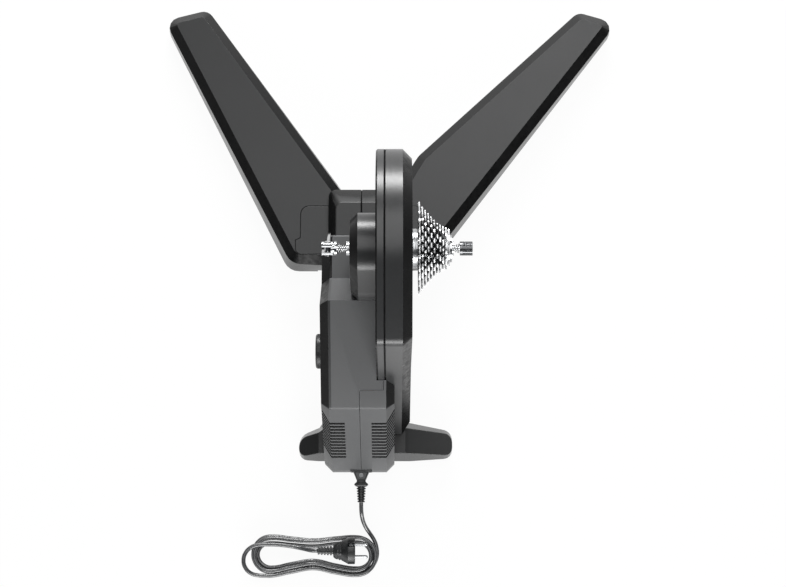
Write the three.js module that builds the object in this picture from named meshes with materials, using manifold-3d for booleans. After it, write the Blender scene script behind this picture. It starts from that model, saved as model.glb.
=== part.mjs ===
// A direct drive bike trainer: the bike's rear wheel comes off, its chain runs on the trainer's cassette,
// and a belt turns a heavy flywheel against an electric brake.
// Millimetres, +Z up, +Y towards the bike's front. While modelling, X = 0 is the bike's centre plane,
// Y = 0 is under the axle and Z = 0 is the floor. At the end the group is centred on its own footprint.
import * as THREE from "three";
import { mergeVertices } from "three/addons/utils/BufferGeometryUtils.js";
import Module from "manifold-3d";

const wasm = await Module();
wasm.setup();

// General values
const gap = 0.3; // between pieces that touch
const seam = 0.6; // visible joint between two covers
const overrun = 5; // how far a cutting shape passes the face it cuts
const leastRadius = 0.3; // of a rounded corner that was moved inwards
const arcSteps = 4; // facets of a rounded corner
const wide = 32; // facets of a wide round piece, of one of middle size and of a small one
const round = 20;
const fine = 12;

// Main stations
const axleHeight = 335;
const dropoutSpacing = 135; // between the two frame ends that the axle carries
const partingX = -53.5; // plane where the left and right housings meet
const floorClearance = 11.5; // underside of the housings above the floor

// Distances between pieces that keep together
const reach = {
  rearFace: 69, // bottom edge of the rear face behind its top edge
  ridge: 47, // the housings' ridge ahead of the flywheel's middle
  footRecess: 80, // ahead of the rear face's bottom edge, as are the next four
  coverFoot: 50,
  boardFront: 76,
  boardRear: 17,
  inletInner: 13,
  connectorStart: 10,
  inletLip: 1.8, // behind the rear face's bottom edge, as are the next four
  connectorShoulder: 1.6,
  connectorNeck: 12.8,
  connectorFlange: 19,
  reliefEnd: 44,
  coverKnee: 117, // below the axle
  bossRear: 38,
  shaftEnd: 1.5, // from the left wall to the flywheel's shaft
  boardSide: 2,
};

const flywheel = {
  y: -101,
  z: 128,
  left: -89,
  right: -51,
  radius: 88,
  rimDepth: 16,
  dish: 4,
  hubRadius: 20,
  rearRoom: 2, // the housing's rear top edge lies this much inside the wheel's rear
  frontRoom: 5,
};

// Left and right housings around the flywheel and the electronics
const rearTopY = flywheel.y - flywheel.radius + flywheel.rearRoom;
const rearBottomY = rearTopY - reach.rearFace;
const housing = {
  left: -104.6,
  right: -7,
  tongueRight: -22,
  tongueRear: -163,
  frontY: 47.7,
  lowerFrontY: 28,
  rimZ: 191,
  creaseY: -13,
  creaseZ: 200,
  ridgeY: flywheel.y + reach.ridge,
  ridgeZ: 265,
  rearTopZ: 189,
  chamfer: 11,
  wall: 4,
  edgeRadius: 9,
  rimRadius: 3,
  trayBottom: 14,
  trayLip: 1, // the tray under the power inlet stands back of the rear face by this much
  trayDepth: 13,
  footRecessY: rearBottomY + reach.footRecess,
  bulkheadY: flywheel.y + flywheel.radius + flywheel.frontRoom,
  bossWall: 3.7,
};

// Belt cover: two shells around the pulleys, seen edge on from above
const cover = {
  radius: 125,
  flatAngle: 24, // the top falls towards the rear
  rearTopY: -134.6,
  rearTopRadius: 15,
  kneeY: -148,
  kneeZ: axleHeight - reach.coverKnee,
  rearFootY: rearBottomY + reach.coverFoot,
  bottomFrontY: 20,
  frontFootY: 62,
  frontAngle: -15,
  innerLeft: -30.3,
  innerRight: -20.5,
  outerLeft: -18,
  lip: 3, // tongue of the inner shell inside the outer one
  shoulder: 3,
  right: 14.6,
  bevel: 12,
  innerEdge: 2,
  wall: 3,
  pulleyRoom: 8, // between the bevel's inner edge and the large pulley
  facets: 26,
};

// Axle housing, the boss on the left of the belt cover that carries the axle
const boss = {
  left: -63.4,
  bevel: 10,
  radius: 45,
  rearRadius: 26,
  rearY: -32,
  rearZ: axleHeight - reach.bossRear,
  neckFrontY: 34,
  neckRearY: -50,
  neckBottom: 170,
  frontAngle: -10, // degrees along the top arc, then the rear one
  topAngle: 140,
  rearAngle: 200,
  topFacets: 16,
  rearFacets: 8,
};

const vent = {
  count: 12,
  pitch: 8.3,
  height: 4.6,
  length: 31, // across the rear face and the chamfer, from the side face
  firstZ: 154,
  rise: 12, // the slots run up over the chamfer by this much
};

// Legs: flat tapered wings, each on an upright pivot
const leg = {
  pivotX: 65, // each side of the parting plane
  pivotY: 82,
  bottom: 5,
  top: 53.5,
  fall: 0.038, // drop of the top for each millimetre of length
  chamfer: 12.5,
  skin: 6,
  tipRadius: 16,
  rootRadius: 51,
  rootEnd: 15, // degrees; where the round root meets the inner edge
  rootFacets: 10,
  cornerRadius: 24,
  ribThickness: 4,
  bay: 60,
  solidTip: 50,
  padInset: 4,
  padCorner: 10,
  pocketTop: 9,
  plateRecess: 84,
  lobeRecess: 46,
  recessOuter: 24,
  capDepth: 3,
  capStep: 7,
};
const legSides = {
  left: {
    side: -1,
    openAngle: 31,
    length: 383.5,
    tipLean: 19,
    inner: 70.5, // half widths at the pivot, and how each narrows along the leg
    innerTaper: 0.0913,
    innerStart: 36,
    innerRadius: 0,
    outer: 59.7,
    outerTaper: 0.0775,
    rearLead: 21,
    rearHalf: 60,
    rootStart: -105,
    rootDraft: 6,
    tipDraft: 1.5,
  },
  right: {
    side: 1,
    openAngle: 42,
    length: 430.5,
    tipLean: 26,
    inner: 75.3,
    innerTaper: 0.089,
    innerStart: 95,
    innerRadius: 40,
    outer: 54.5,
    outerTaper: 0.084,
    rearLead: 15,
    rearHalf: 54,
    rootStart: -114,
    rootDraft: 3,
    tipDraft: 1,
  },
};
const cap = {
  inner: 18,
  outer: 22,
  front: 37,
  rear: 33,
  stepFromRear: 20,
  radius: 12,
  rearRadius: 8,
  innerRadius: 1,
};
const pin = { radius: 12, bottom: 5.5, headRadius: 17, headHeight: 4, headBottom: 45, facets: 32 };

// Front block over the leg roots
const block = {
  halfWidth: 47,
  bottom: 57,
  front: 141,
  skirtTop: 61,
  bevelStart: 129,
  bevelZ: 74,
  topFront: 117,
  top: 84,
  sideDraft: 11,
  edgeRadius: 10,
};

const basePlate = {
  top: 11.2,
  thickness: 6,
  lobeRadius: 44,
  front: 128,
  spineHalf: 38,
  rear: -172,
  edge: 14,
};

// Rear foot. Each station gives its edges, measured forward from the rear face's bottom edge.
const footLeftEnd = { x: -141.5, rear: 17, topRear: 20, topFront: 46, front: 51, top: 21 };
const footLeftShoulder = { x: -113.5, rear: 15, topRear: 24, topFront: 53, front: 63, top: 35.5 };
const footLeftCrease = { x: -104, rear: 15, topRear: 24, topFront: 60, front: 77, top: 35.5 };
const footRightCrease = { x: -10, rear: 15, topRear: 24, topFront: 60, front: 77, top: 35.5 };
const footRightShoulder = { x: 8, rear: 15, topRear: 24, topFront: 59.5, front: 72, top: 35.5 };
const footRightStep = { x: 14, rear: 15, topRear: 24, topFront: 59, front: 70, top: 33.5 };
const footRightEnd = { x: 74.5, rear: 19, topRear: 22, topFront: 51.7, front: 57.7, top: 21 };
const rearFoot = {
  bottom: 5,
  height: 35.5,
  tipRadius: 11,
  tipSteps: 4,
  stations: [
    footLeftEnd,
    footLeftShoulder,
    footLeftCrease,
    footRightCrease,
    footRightShoulder,
    footRightStep,
    footRightEnd,
  ],
  padLength: 40,
  padInset: 5,
  padRear: 23,
  padFront: 48,
};

const shaft = { radius: 7.5, left: housing.left + housing.wall + reach.shaftEnd, right: -2, room: 1 };
const bearing = { outer: 14, width: 9, facets: 24 };
const smallPulley = { radius: 22, ribs: 4, ribDepth: 1.2 };
const bigPulley = {
  radius: cover.radius - cover.bevel - cover.pulleyRoom,
  rim: 8,
  web: 4,
  sleeveRadius: 20,
  sleeveRoom: 1,
};
const belt = { thickness: 3, left: -15, right: -1 };
const flange = { radius: 25, left: 15.4, right: 22.2 };
const stator = { inner: 30, outer: 68, plate: 4, poles: 6, poleRadius: 9, poleCentre: 54, clearance: 1.5 };
const board = {
  left: housing.left + housing.wall + reach.boardSide,
  right: -72,
  front: rearBottomY + reach.boardFront,
  rear: rearBottomY + reach.boardRear,
  thickness: 1.6,
  partHeight: 14,
  partRadius: 6,
  partShares: [0.2, 0.5, 0.8],
};

// Axle, freehub and cassette
const axle = { radius: 8, bore: 3.2, room: 2, endRadius: 8.9, endLength: 3.8, knurls: 12, knurlDepth: 0.7 };
const hubBearing = { outer: 14, width: 8 };
const freehub = { radius: 17, left: 22.6, right: 61.6, splines: 9, splineHeight: 1, seatRoom: 1 };
const cogTeeth = [28, 25, 23, 21, 19, 17, 15, 14, 13, 12, 11];
const cog = {
  firstX: 22.9,
  pitch: 3.74,
  thickness: 1.8,
  chainPitch: 12.7,
  rollerRadius: 3.9,
  tipHeight: 2,
  spacerWall: 3,
  toothShares: { root: 0.5, tip: 0.14 },
  rimDepth: 9,
  hubRing: 1,
  leastWindow: 14,
  arms: 5,
  armWidth: 9,
  armTurn: 0.1, // radians that each cog's arms stand ahead of the last one's
  windowSteps: 3,
};
// Half widths of the ribs and splines of a round grip, as shares of their pitch, at the root and at the tip
const gripShares = { root: 0.3, tip: 0.2 };
const lockring = { thickness: 2.6, radius: 17.6, bore: 12, notches: 12, notchDepth: 1.8 };

// Skewer; its stations along the axle are measured outwards from the frame ends
const skewerOut = {
  headLeft: 31.1,
  hinge: 23.8,
  rodLeft: 18.7,
  grooveLeft: 17.1,
  flangeLeft: 15.5,
  gripLeft: 12.5,
  nutLeft: 7.8,
  rodRight: 20.5,
  nutRight: 23.5,
};
const frameEnd = dropoutSpacing / 2;
const skewer = {
  rodRadius: 2.5,
  rodLeft: -frameEnd - skewerOut.rodLeft,
  rodRight: frameEnd + skewerOut.rodRight,
  headLeft: -frameEnd - skewerOut.headLeft,
  headRadius: 8.6,
  grooveLeft: -frameEnd - skewerOut.grooveLeft,
  grooveRadius: 6,
  flangeLeft: -frameEnd - skewerOut.flangeLeft,
  flangeRadius: 9.6,
  gripLeft: -frameEnd - skewerOut.gripLeft,
  ribs: 12,
  ribDepth: 1,
  slotHalf: 3.3,
  hingeX: -frameEnd - skewerOut.hinge,
  hingeRadius: 4,
  hingeHalf: 9.2,
  leverLean: 25, // degrees forward of straight down
  leverLength: 66,
  leverHalf: 6,
  leverNeckHalf: 3,
  leverNeckEnd: 12,
  leverShoulder: 16,
  leverThickness: 4,
  hingeFacets: 24,
  rodFacets: 16,
  nutLeft: frameEnd + skewerOut.nutLeft,
  nutRight: frameEnd + skewerOut.nutRight,
  nutRadius: 8.9,
  nutCollar: 3,
  nutRibs: 16,
  overlap: 1, // between joined rings of one piece
  springWire: 0.7,
  springSmall: 3.9,
  springLarge: 6,
  springPitch: 2.4,
  springSides: 5,
  springSteps: 8, // for each turn
};

const flywheelCap = { radius: 24, height: 9.4, edge: 2 };

// Power connection and cord
const inlet = {
  x: partingX,
  z: 28,
  halfWidth: 15,
  halfHeight: 10,
  inner: rearBottomY + reach.inletInner,
  outer: rearBottomY - reach.inletLip,
  wall: 2,
};
const connector = {
  halfWidth: 11.4,
  halfHeight: 7.4,
  start: rearBottomY + reach.connectorStart,
  shoulder: rearBottomY - reach.connectorShoulder,
  neck: rearBottomY - reach.connectorNeck,
  neckHalf: 6.5,
  flangeHalf: 9.8,
  flangeHeight: 7.4,
  flangeDepth: 3,
  flangeY: rearBottomY - reach.connectorFlange,
  reliefEnd: rearBottomY - reach.reliefEnd,
  reliefWide: 6.6,
  reliefThin: 5.2,
  ribs: 5,
  ribDepth: 1.1,
  squareness: 6,
};
// Shares of a rib's pitch at which its groove ends, and at which the rib starts and ends
const ribShares = { grooveEnd: 0.35, start: 0.4, end: 0.95 };
const cord = { radius: 2.9, sides: 8, coilSides: 6, floor: 2.5, leadSteps: 9, tailSteps: 17 };
const hank = {
  rightX: -59.5, // centres of the two end turns
  leftX: -180.5,
  y: -370,
  radius: 28.2,
  pitch: 6.5,
  layer: 6.5,
  layerShift: -3,
  waistX: -123,
  waistHalf: 58,
  topWaist: 5,
  bottomWaist: 10,
  turnSteps: 8,
  runSteps: 4,
  stepsPerLoop: 24,
  steps: 80,
  climbSteps: 3,
  gapSamples: 4, // for each step, when the least gap is measured
};
const plug = {
  rear: -92,
  face: -62,
  radius: 18.5,
  y: -367,
  z: 27.4,
  pinRadius: 2.4,
  pinSpacing: 19,
  pinLength: 18,
  pinRoot: 2,
  pinSides: 10,
  rearRadius: 11,
  shoulderX: -86,
  shoulderStep: 1,
  gripX: -78,
  bodyX: -72,
  gripWidth: 13.5,
  gripSquareness: 3,
  faceEdge: 1,
  earthLength: 14,
  earthWidth: 5,
  earthDepth: 2,
  reliefStart: -114,
  reliefWide: 7,
  reliefThin: 4.6,
  reliefSides: 12,
  ribs: 4,
  ribDepth: 1.2,
};

// Finishes
const finish = (color, roughness, metalness) =>
  new THREE.MeshStandardMaterial({ color, roughness, metalness });
const finishes = {
  darkPaint: finish(0x4a4c4e, 0.55, 0.1),
  midPaint: finish(0x5c5f61, 0.5, 0.1),
  blackPlastic: finish(0x1b1c1d, 0.6, 0),
  rubber: finish(0x17181a, 0.9, 0),
  steel: finish(0xb9bcc0, 0.3, 1),
  chrome: finish(0xe2e4e6, 0.12, 1),
  aluminium: finish(0xa9adb1, 0.4, 1),
  castIron: finish(0x55585b, 0.6, 0.8),
  copper: finish(0xb8733a, 0.4, 1),
  board: finish(0x1d5c38, 0.6, 0),
  cord: finish(0x3a3c3e, 0.6, 0),
  nickel: finish(0xd5d7d8, 0.2, 1),
};

const degree = Math.PI / 180;
const turn = 2 * Math.PI;

// Solids

function solidOf(geometry) {
  const bare = geometry.clone();
  bare.deleteAttribute("normal");
  bare.deleteAttribute("uv");
  const merged = mergeVertices(bare, 1e-4);
  const corners = Array.from(merged.index.array);
  const kept = [];
  for (let i = 0; i < corners.length; i += 3) {
    const [a, b, c] = corners.slice(i, i + 3);
    if (a !== b && b !== c && c !== a) kept.push(a, b, c);
  }
  const build = (triangles) =>
    new wasm.Manifold(
      new wasm.Mesh({
        numProp: 3,
        vertProperties: Float32Array.from(merged.attributes.position.array),
        triVerts: Uint32Array.from(triangles),
      }),
    );
  const made = build(kept);
  if (made.volume() >= 0) return made;
  const turned = [];
  for (let i = 0; i < kept.length; i += 3) turned.push(kept[i], kept[i + 2], kept[i + 1]);
  return build(turned);
}

function geometryOf(solid) {
  const { numProp, vertProperties, triVerts, numVert } = solid.getMesh();
  const positions = new Float32Array(numVert * 3);
  for (let i = 0; i < numVert; i++) {
    const first = i * numProp;
    positions.set(vertProperties.subarray(first, first + 3), i * 3);
  }
  const geometry = new THREE.BufferGeometry();
  geometry.setAttribute("position", new THREE.BufferAttribute(positions, 3));
  geometry.setIndex(new THREE.BufferAttribute(Uint32Array.from(triVerts), 1));
  return geometry;
}

const join = (first, ...others) => others.reduce((sum, solid) => sum.add(solid), first);
const cut = (first, ...others) => others.reduce((rest, solid) => rest.subtract(solid), first);

// Outlines are lists of Vector2, anticlockwise. Along "x" they lie in (Y, Z), along "y" in (Z, X) and
// along "z" in (X, Y).

const point = (u, v) => new THREE.Vector2(u, v);

function placed(axis, u, v, w) {
  if (axis === "x") return [w, u, v];
  if (axis === "y") return [v, w, u];
  return [u, v, w];
}

// Corners are [u, v] or [u, v, radius]; a rounded corner becomes a short arc.
function rounded(corners) {
  const outline = [];
  corners.forEach(([u, v, radius = 0], i) => {
    const here = point(u, v);
    if (!radius) {
      outline.push(here);
      return;
    }
    const before = point(...corners.at(i - 1)).sub(here).normalize();
    const after = point(...corners[(i + 1) % corners.length]).sub(here).normalize();
    const half = Math.acos(THREE.MathUtils.clamp(before.dot(after), -1, 1)) / 2;
    const halfway = before.clone().add(after).normalize();
    const centre = here.clone().addScaledVector(halfway, radius / Math.sin(half));
    const start = here.clone().addScaledVector(before, radius / Math.tan(half)).sub(centre);
    const sweep = (Math.PI - 2 * half) * Math.sign(after.cross(before));
    for (let k = 0; k <= arcSteps; k++)
      outline.push(start.clone().rotateAround(point(0, 0), (sweep * k) / arcSteps).add(centre));
  });
  return outline;
}

// Moves each side of an outline inwards by a distance, or by a list of one distance for each side.
function inset(outline, distance) {
  const sides = outline.map((a, i) => {
    const along = outline[(i + 1) % outline.length].clone().sub(a).normalize();
    const by = Array.isArray(distance) ? distance[i] : distance;
    return { from: a.clone().addScaledVector(point(-along.y, along.x), by), along };
  });
  return sides.map((side, i) => {
    const last = sides.at(i - 1);
    const turning = last.along.cross(side.along);
    if (Math.abs(turning) < 1e-6) return side.from.clone();
    const reach = side.from.clone().sub(last.from).cross(side.along) / turning;
    return last.from.clone().addScaledVector(last.along, reach);
  });
}

// The same for corners that are still to be rounded.
function shrunk(corners, distance) {
  const moved = inset(
    corners.map(([u, v]) => point(u, v)),
    distance,
  );
  return moved.map((p, i) => {
    const by = Array.isArray(distance) ? distance[i] : distance;
    const radius = corners[i][2];
    return [p.x, p.y, radius && Math.max(radius - by, leastRadius)];
  });
}

// A solid through rings of like outlines; a ring's place along the axis may depend on the point.
function loft(axis, given) {
  const clockwise = THREE.ShapeUtils.area(given[0].outline) < 0;
  const rings = given.map(({ outline, at }) => ({
    outline: clockwise ? [...outline].reverse() : outline,
    at,
  }));
  const count = rings[0].outline.length;
  const positions = [];
  for (const { outline, at } of rings)
    for (const p of outline) positions.push(...placed(axis, p.x, p.y, typeof at === "function" ? at(p) : at));
  const faces = [];
  for (let ring = 0; ring + 1 < rings.length; ring++)
    for (let i = 0; i < count; i++) {
      const a = ring * count + i;
      const b = ring * count + ((i + 1) % count);
      faces.push(a, b, b + count, a, b + count, a + count);
    }
  const closing = (ring, facing) => {
    const { outline } = rings[ring];
    for (const [a, b, c] of THREE.ShapeUtils.triangulateShape(outline, [])) {
      const area = outline[b].clone().sub(outline[a]).cross(outline[c].clone().sub(outline[a]));
      const order = area * facing > 0 ? [a, b, c] : [a, c, b];
      faces.push(...order.map((k) => k + ring * count));
    }
  };
  closing(0, -1);
  closing(rings.length - 1, 1);
  const geometry = new THREE.BufferGeometry();
  geometry.setAttribute("position", new THREE.Float32BufferAttribute(positions, 3));
  geometry.setIndex(faces);
  return solidOf(geometry);
}

const prism = (axis, outline, from, to) =>
  loft(axis, [
    { outline, at: from },
    { outline, at: to },
  ]);

function circle(radius, centreU = 0, centreV = 0, facets = round) {
  return Array.from({ length: facets }, (_, k) => {
    const angle = (turn * k) / facets;
    return point(centreU + radius * Math.cos(angle), centreV + radius * Math.sin(angle));
  });
}

const disc = (axis, radius, from, to, u = 0, v = 0, facets = round) =>
  prism(axis, circle(radius, u, v, facets), from, to);

function box(x0, x1, y0, y1, z0, z1) {
  const geometry = new THREE.BoxGeometry(x1 - x0, y1 - y0, z1 - z0);
  geometry.translate((x0 + x1) / 2, (y0 + y1) / 2, (z0 + z1) / 2);
  return solidOf(geometry);
}

// A turned piece about an axis parallel to X; the profile is [radius, x] and starts and ends on the axis
// or closes.
function turned(profile, y, z, facets = round) {
  const geometry = new THREE.LatheGeometry(profile.map(([r, x]) => point(r, x)), facets);
  geometry.rotateZ(-Math.PI / 2);
  geometry.translate(0, y, z);
  return solidOf(geometry);
}

const ringProfile = (inner, outer, from, to) => [
  [inner, from],
  [outer, from],
  [outer, to],
  [inner, to],
  [inner, from],
];

const rodProfile = (radius, from, to) => [
  [0, from],
  [radius, from],
  [radius, to],
  [0, to],
];

const model = new THREE.Group();

function add(name, solid, material, parent = model) {
  const mesh = new THREE.Mesh(geometryOf(solid), material);
  mesh.name = name;
  parent.add(mesh);
  return mesh;
}

// Belt cover

const footTop = rearFoot.height + gap + housing.wall + gap;
const coverBottom = floorClearance + housing.wall + gap;
const coverCorners = (() => {
  const flat = cover.flatAngle * degree;
  const rearTangentY = -cover.radius * Math.sin(flat);
  const rearTangentZ = axleHeight + cover.radius * Math.cos(flat);
  const first = cover.frontAngle * degree;
  const last = Math.PI / 2 + flat;
  const arc = Array.from({ length: cover.facets + 1 }, (_, k) => {
    const angle = first + ((last - first) * k) / cover.facets;
    return [cover.radius * Math.cos(angle), axleHeight + cover.radius * Math.sin(angle)];
  });
  const rearTopZ = rearTangentZ - (rearTangentY - cover.rearTopY) * Math.tan(flat);
  return [
    ...arc,
    [cover.rearTopY, rearTopZ, cover.rearTopRadius],
    [cover.kneeY, cover.kneeZ],
    [cover.rearFootY, footTop],
    [housing.footRecessY + housing.wall + gap, footTop],
    [housing.footRecessY + housing.wall + gap, coverBottom],
    [cover.bottomFrontY, coverBottom],
    [cover.bottomFrontY, block.bottom],
    [housing.frontY, block.bottom],
    [housing.frontY, block.top + gap],
    [cover.frontFootY, block.top + gap],
  ];
})();
const coverRing = (distance) => rounded(shrunk(coverCorners, distance));
const coverSpace = prism("x", coverRing(-gap), cover.innerLeft - gap, cover.right + overrun);

const onAxle = (profile, facets) => turned(profile, 0, axleHeight, facets);
const onFlywheel = (profile, facets) => turned(profile, flywheel.y, flywheel.z, facets);

function innerCover() {
  const body = loft("x", [
    { outline: coverRing(cover.innerEdge), at: cover.innerLeft },
    { outline: coverRing(0), at: cover.innerLeft + cover.innerEdge },
    { outline: coverRing(0), at: cover.innerRight },
  ]);
  const socketLeft = cover.innerLeft - bearing.width - cover.wall;
  const bore = shaft.radius + shaft.room;
  const socket = onFlywheel(ringProfile(bore, bearing.outer + cover.wall, socketLeft, cover.innerRight));
  const tongueStart = cover.innerRight - cover.innerEdge;
  const tongueEnd = cover.outerLeft + cover.lip;
  const tongue = cut(
    prism("x", coverRing(cover.wall + gap), tongueStart, tongueEnd),
    prism("x", coverRing(2 * cover.wall), tongueStart - overrun, tongueEnd + overrun),
  );
  return cut(
    join(body, tongue, socket),
    disc("x", axle.radius + gap, cover.innerLeft - overrun, cover.innerRight + overrun, 0, axleHeight),
    onFlywheel([
      [0, socketLeft - overrun],
      [bearing.outer + gap, socketLeft - overrun],
      [bearing.outer + gap, cover.innerLeft - cover.wall],
      [bore, cover.innerLeft - cover.wall],
      [bore, cover.innerRight + overrun],
      [0, cover.innerRight + overrun],
    ]),
  );
}

function outerCover() {
  const body = loft("x", [
    { outline: coverRing(0), at: cover.outerLeft },
    { outline: coverRing(0), at: cover.shoulder },
    { outline: coverRing(cover.bevel), at: cover.right },
  ]);
  const cavity = prism("x", coverRing(cover.wall), cover.outerLeft - overrun, cover.shoulder - cover.wall);
  const deep = prism("x", coverRing(cover.bevel + cover.wall), cover.outerLeft, cover.right - cover.wall);
  const holeRadius = bigPulley.sleeveRadius + bigPulley.sleeveRoom;
  const hole = disc("x", holeRadius, cover.outerLeft, cover.right + overrun, 0, axleHeight);
  return cut(body, cavity, deep, hole);
}

// Housings

const trayRearY = rearBottomY - housing.trayLip;

// Corners of a housing seen from the side. The upper sides are chamfered at its ends; the others are plain.
const housingCorners = {
  lowerFront: [
    [housing.lowerFrontY, floorClearance],
    [housing.lowerFrontY, block.bottom],
  ],
  upper: [
    [housing.frontY, block.bottom],
    [housing.frontY, housing.rimZ, housing.rimRadius],
    [housing.creaseY, housing.creaseZ],
    [housing.ridgeY, housing.ridgeZ],
    [rearTopY, housing.rearTopZ, housing.edgeRadius],
  ],
  rearBottom: [[rearBottomY, rearFoot.height + gap]],
  tray: [
    [trayRearY, housing.trayBottom],
    [trayRearY + housing.trayDepth + housing.trayLip, housing.trayBottom],
    [trayRearY + housing.trayDepth + housing.trayLip, rearFoot.height + gap],
  ],
  lowerRear: [
    [housing.footRecessY, rearFoot.height + gap],
    [housing.footRecessY, floorClearance],
  ],
};

function housingRing(chamfer, plain = 0, withTray = true) {
  const { lowerFront, upper, rearBottom, tray, lowerRear } = housingCorners;
  const corners = [...lowerFront, ...upper, ...rearBottom, ...(withTray ? tray : []), ...lowerRear];
  const chamfered = withTray ? [...upper, ...rearBottom] : upper;
  const distances = corners.map((corner) => (chamfered.includes(corner) ? chamfer : plain));
  return rounded(shrunk(corners, distances));
}
const housingOutline = housingRing(0);

function ventSlots(sideX, inward) {
  const slope = (rearTopY - rearBottomY) / (housing.rearTopZ - rearFoot.height);
  const slots = [];
  for (let k = 0; k < vent.count; k++) {
    const z = vent.firstZ - k * vent.pitch * Math.cos(Math.atan(slope));
    const y = rearTopY - (housing.rearTopZ - z) * slope;
    const kneeX = sideX + inward * housing.chamfer;
    const endX = sideX + inward * vent.length;
    const outside = y - overrun * 2;
    const inside = y + housing.wall * 2;
    const flat = box(
      Math.min(kneeX, endX),
      Math.max(kneeX, endX),
      outside,
      inside,
      z - vent.height / 2,
      z + vent.height / 2,
    );
    const inner = [
      point(kneeX, z - vent.height / 2),
      point(kneeX, z + vent.height / 2),
      point(sideX - inward * overrun, z + vent.height / 2 + vent.rise + overrun),
      point(sideX - inward * overrun, z - vent.height / 2 + vent.rise + overrun),
    ];
    const order = inward > 0 ? inner : [...inner].reverse();
    const outline = order.map((p) => point(p.y, p.x));
    const slanted = prism("y", outline, outside, inside + housing.chamfer);
    slots.push(join(flat, slanted));
  }
  return slots;
}

// Inner space of both housings; its ends follow the outer chamfers
const mitre = housing.wall * Math.tan(Math.PI / 8);
const housingSpace = loft("x", [
  { outline: housingRing(housing.chamfer + mitre, housing.wall, false), at: housing.left + housing.wall },
  { outline: housingRing(housing.wall, housing.wall, false), at: housing.left + housing.chamfer + mitre },
  { outline: housingRing(housing.wall, housing.wall, false), at: housing.right - housing.chamfer - mitre },
  { outline: housingRing(housing.chamfer + mitre, housing.wall, false), at: housing.right - housing.wall },
]);
const bulkhead = box(
  housing.left,
  housing.right,
  housing.bulkheadY,
  housing.bulkheadY + housing.wall,
  0,
  housing.ridgeZ,
);

const inletPocket = box(
  inlet.x - inlet.halfWidth - gap,
  inlet.x + inlet.halfWidth + gap,
  inlet.outer - overrun,
  inlet.inner + gap,
  inlet.z - inlet.halfHeight - gap,
  inlet.z + inlet.halfHeight + gap,
);

function leftHousing() {
  const body = loft("x", [
    { outline: housingRing(housing.chamfer), at: housing.left },
    { outline: housingOutline, at: housing.left + housing.chamfer },
    { outline: housingOutline, at: housing.tongueRight },
  ]);
  const bossInner = bearing.outer + gap;
  const bossRight = housing.left + housing.wall + bearing.width + gap;
  const bearingBoss = onFlywheel(ringProfile(bossInner, bossInner + housing.bossWall, housing.left + gap, bossRight));
  const shell = cut(
    body,
    coverSpace,
    box(partingX, housing.right, trayRearY - overrun, housing.tongueRear, 0, housing.ridgeZ),
    cut(housingSpace, bulkhead),
    inletPocket,
    ...ventSlots(housing.left, 1),
  );
  return join(shell, bearingBoss);
}

function rightHousing() {
  const body = loft("x", [
    { outline: housingOutline, at: partingX + seam },
    { outline: housingOutline, at: housing.right - housing.chamfer },
    { outline: housingRing(housing.chamfer), at: housing.right },
  ]);
  const tongueRoom = box(
    housing.left,
    housing.tongueRight + seam,
    housing.tongueRear - seam,
    housing.frontY + overrun,
    0,
    housing.ridgeZ,
  );
  const behindCover = box(
    partingX,
    housing.right,
    housing.tongueRear - seam,
    housing.frontY + overrun,
    0,
    housing.ridgeZ,
  );
  const shell = cut(body, coverSpace, tongueRoom, inletPocket, ...ventSlots(housing.right, -1));
  return cut(shell, cut(housingSpace, behindCover));
}

function axleHousing() {
  const top = Array.from({ length: boss.topFacets + 1 }, (_, k) => {
    const angle = (boss.frontAngle + ((boss.topAngle - boss.frontAngle) * k) / boss.topFacets) * degree;
    return [boss.radius * Math.cos(angle), axleHeight + boss.radius * Math.sin(angle)];
  });
  const rear = Array.from({ length: boss.rearFacets + 1 }, (_, k) => {
    const angle = (boss.topAngle + ((boss.rearAngle - boss.topAngle) * k) / boss.rearFacets) * degree;
    return [boss.rearY + boss.rearRadius * Math.cos(angle), boss.rearZ + boss.rearRadius * Math.sin(angle)];
  });
  const outline = rounded([...top, ...rear, [boss.neckRearY, boss.neckBottom], [boss.neckFrontY, boss.neckBottom]]);
  const body = loft("x", [
    { outline: inset(outline, boss.bevel), at: boss.left },
    { outline, at: boss.left + boss.bevel },
    { outline, at: cover.innerLeft - gap },
  ]);
  const below = prism("x", housingRing(-gap, -gap), housing.left, cover.innerLeft);
  const bore = disc("x", axle.radius + gap, boss.left - overrun, cover.innerLeft + overrun, 0, axleHeight);
  return cut(body, below, bore);
}

function frontBlock(side) {
  const half = block.halfWidth;
  const rear = housing.frontY + gap;
  const profile = (halfWidth, front) =>
    rounded([
      [side * (seam / 2), rear],
      [side * halfWidth, rear],
      [side * halfWidth, front, block.edgeRadius],
      [side * (seam / 2), front],
    ].map(([u, v, r]) => [partingX + u, v, r]));
  return loft("z", [
    { outline: profile(half, block.front), at: block.bottom },
    { outline: profile(half, block.front), at: block.skirtTop },
    { outline: profile(half - block.sideDraft / 2, block.bevelStart), at: block.bevelZ },
    { outline: profile(half - block.sideDraft, block.topFront), at: block.top },
  ]);
}

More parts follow.
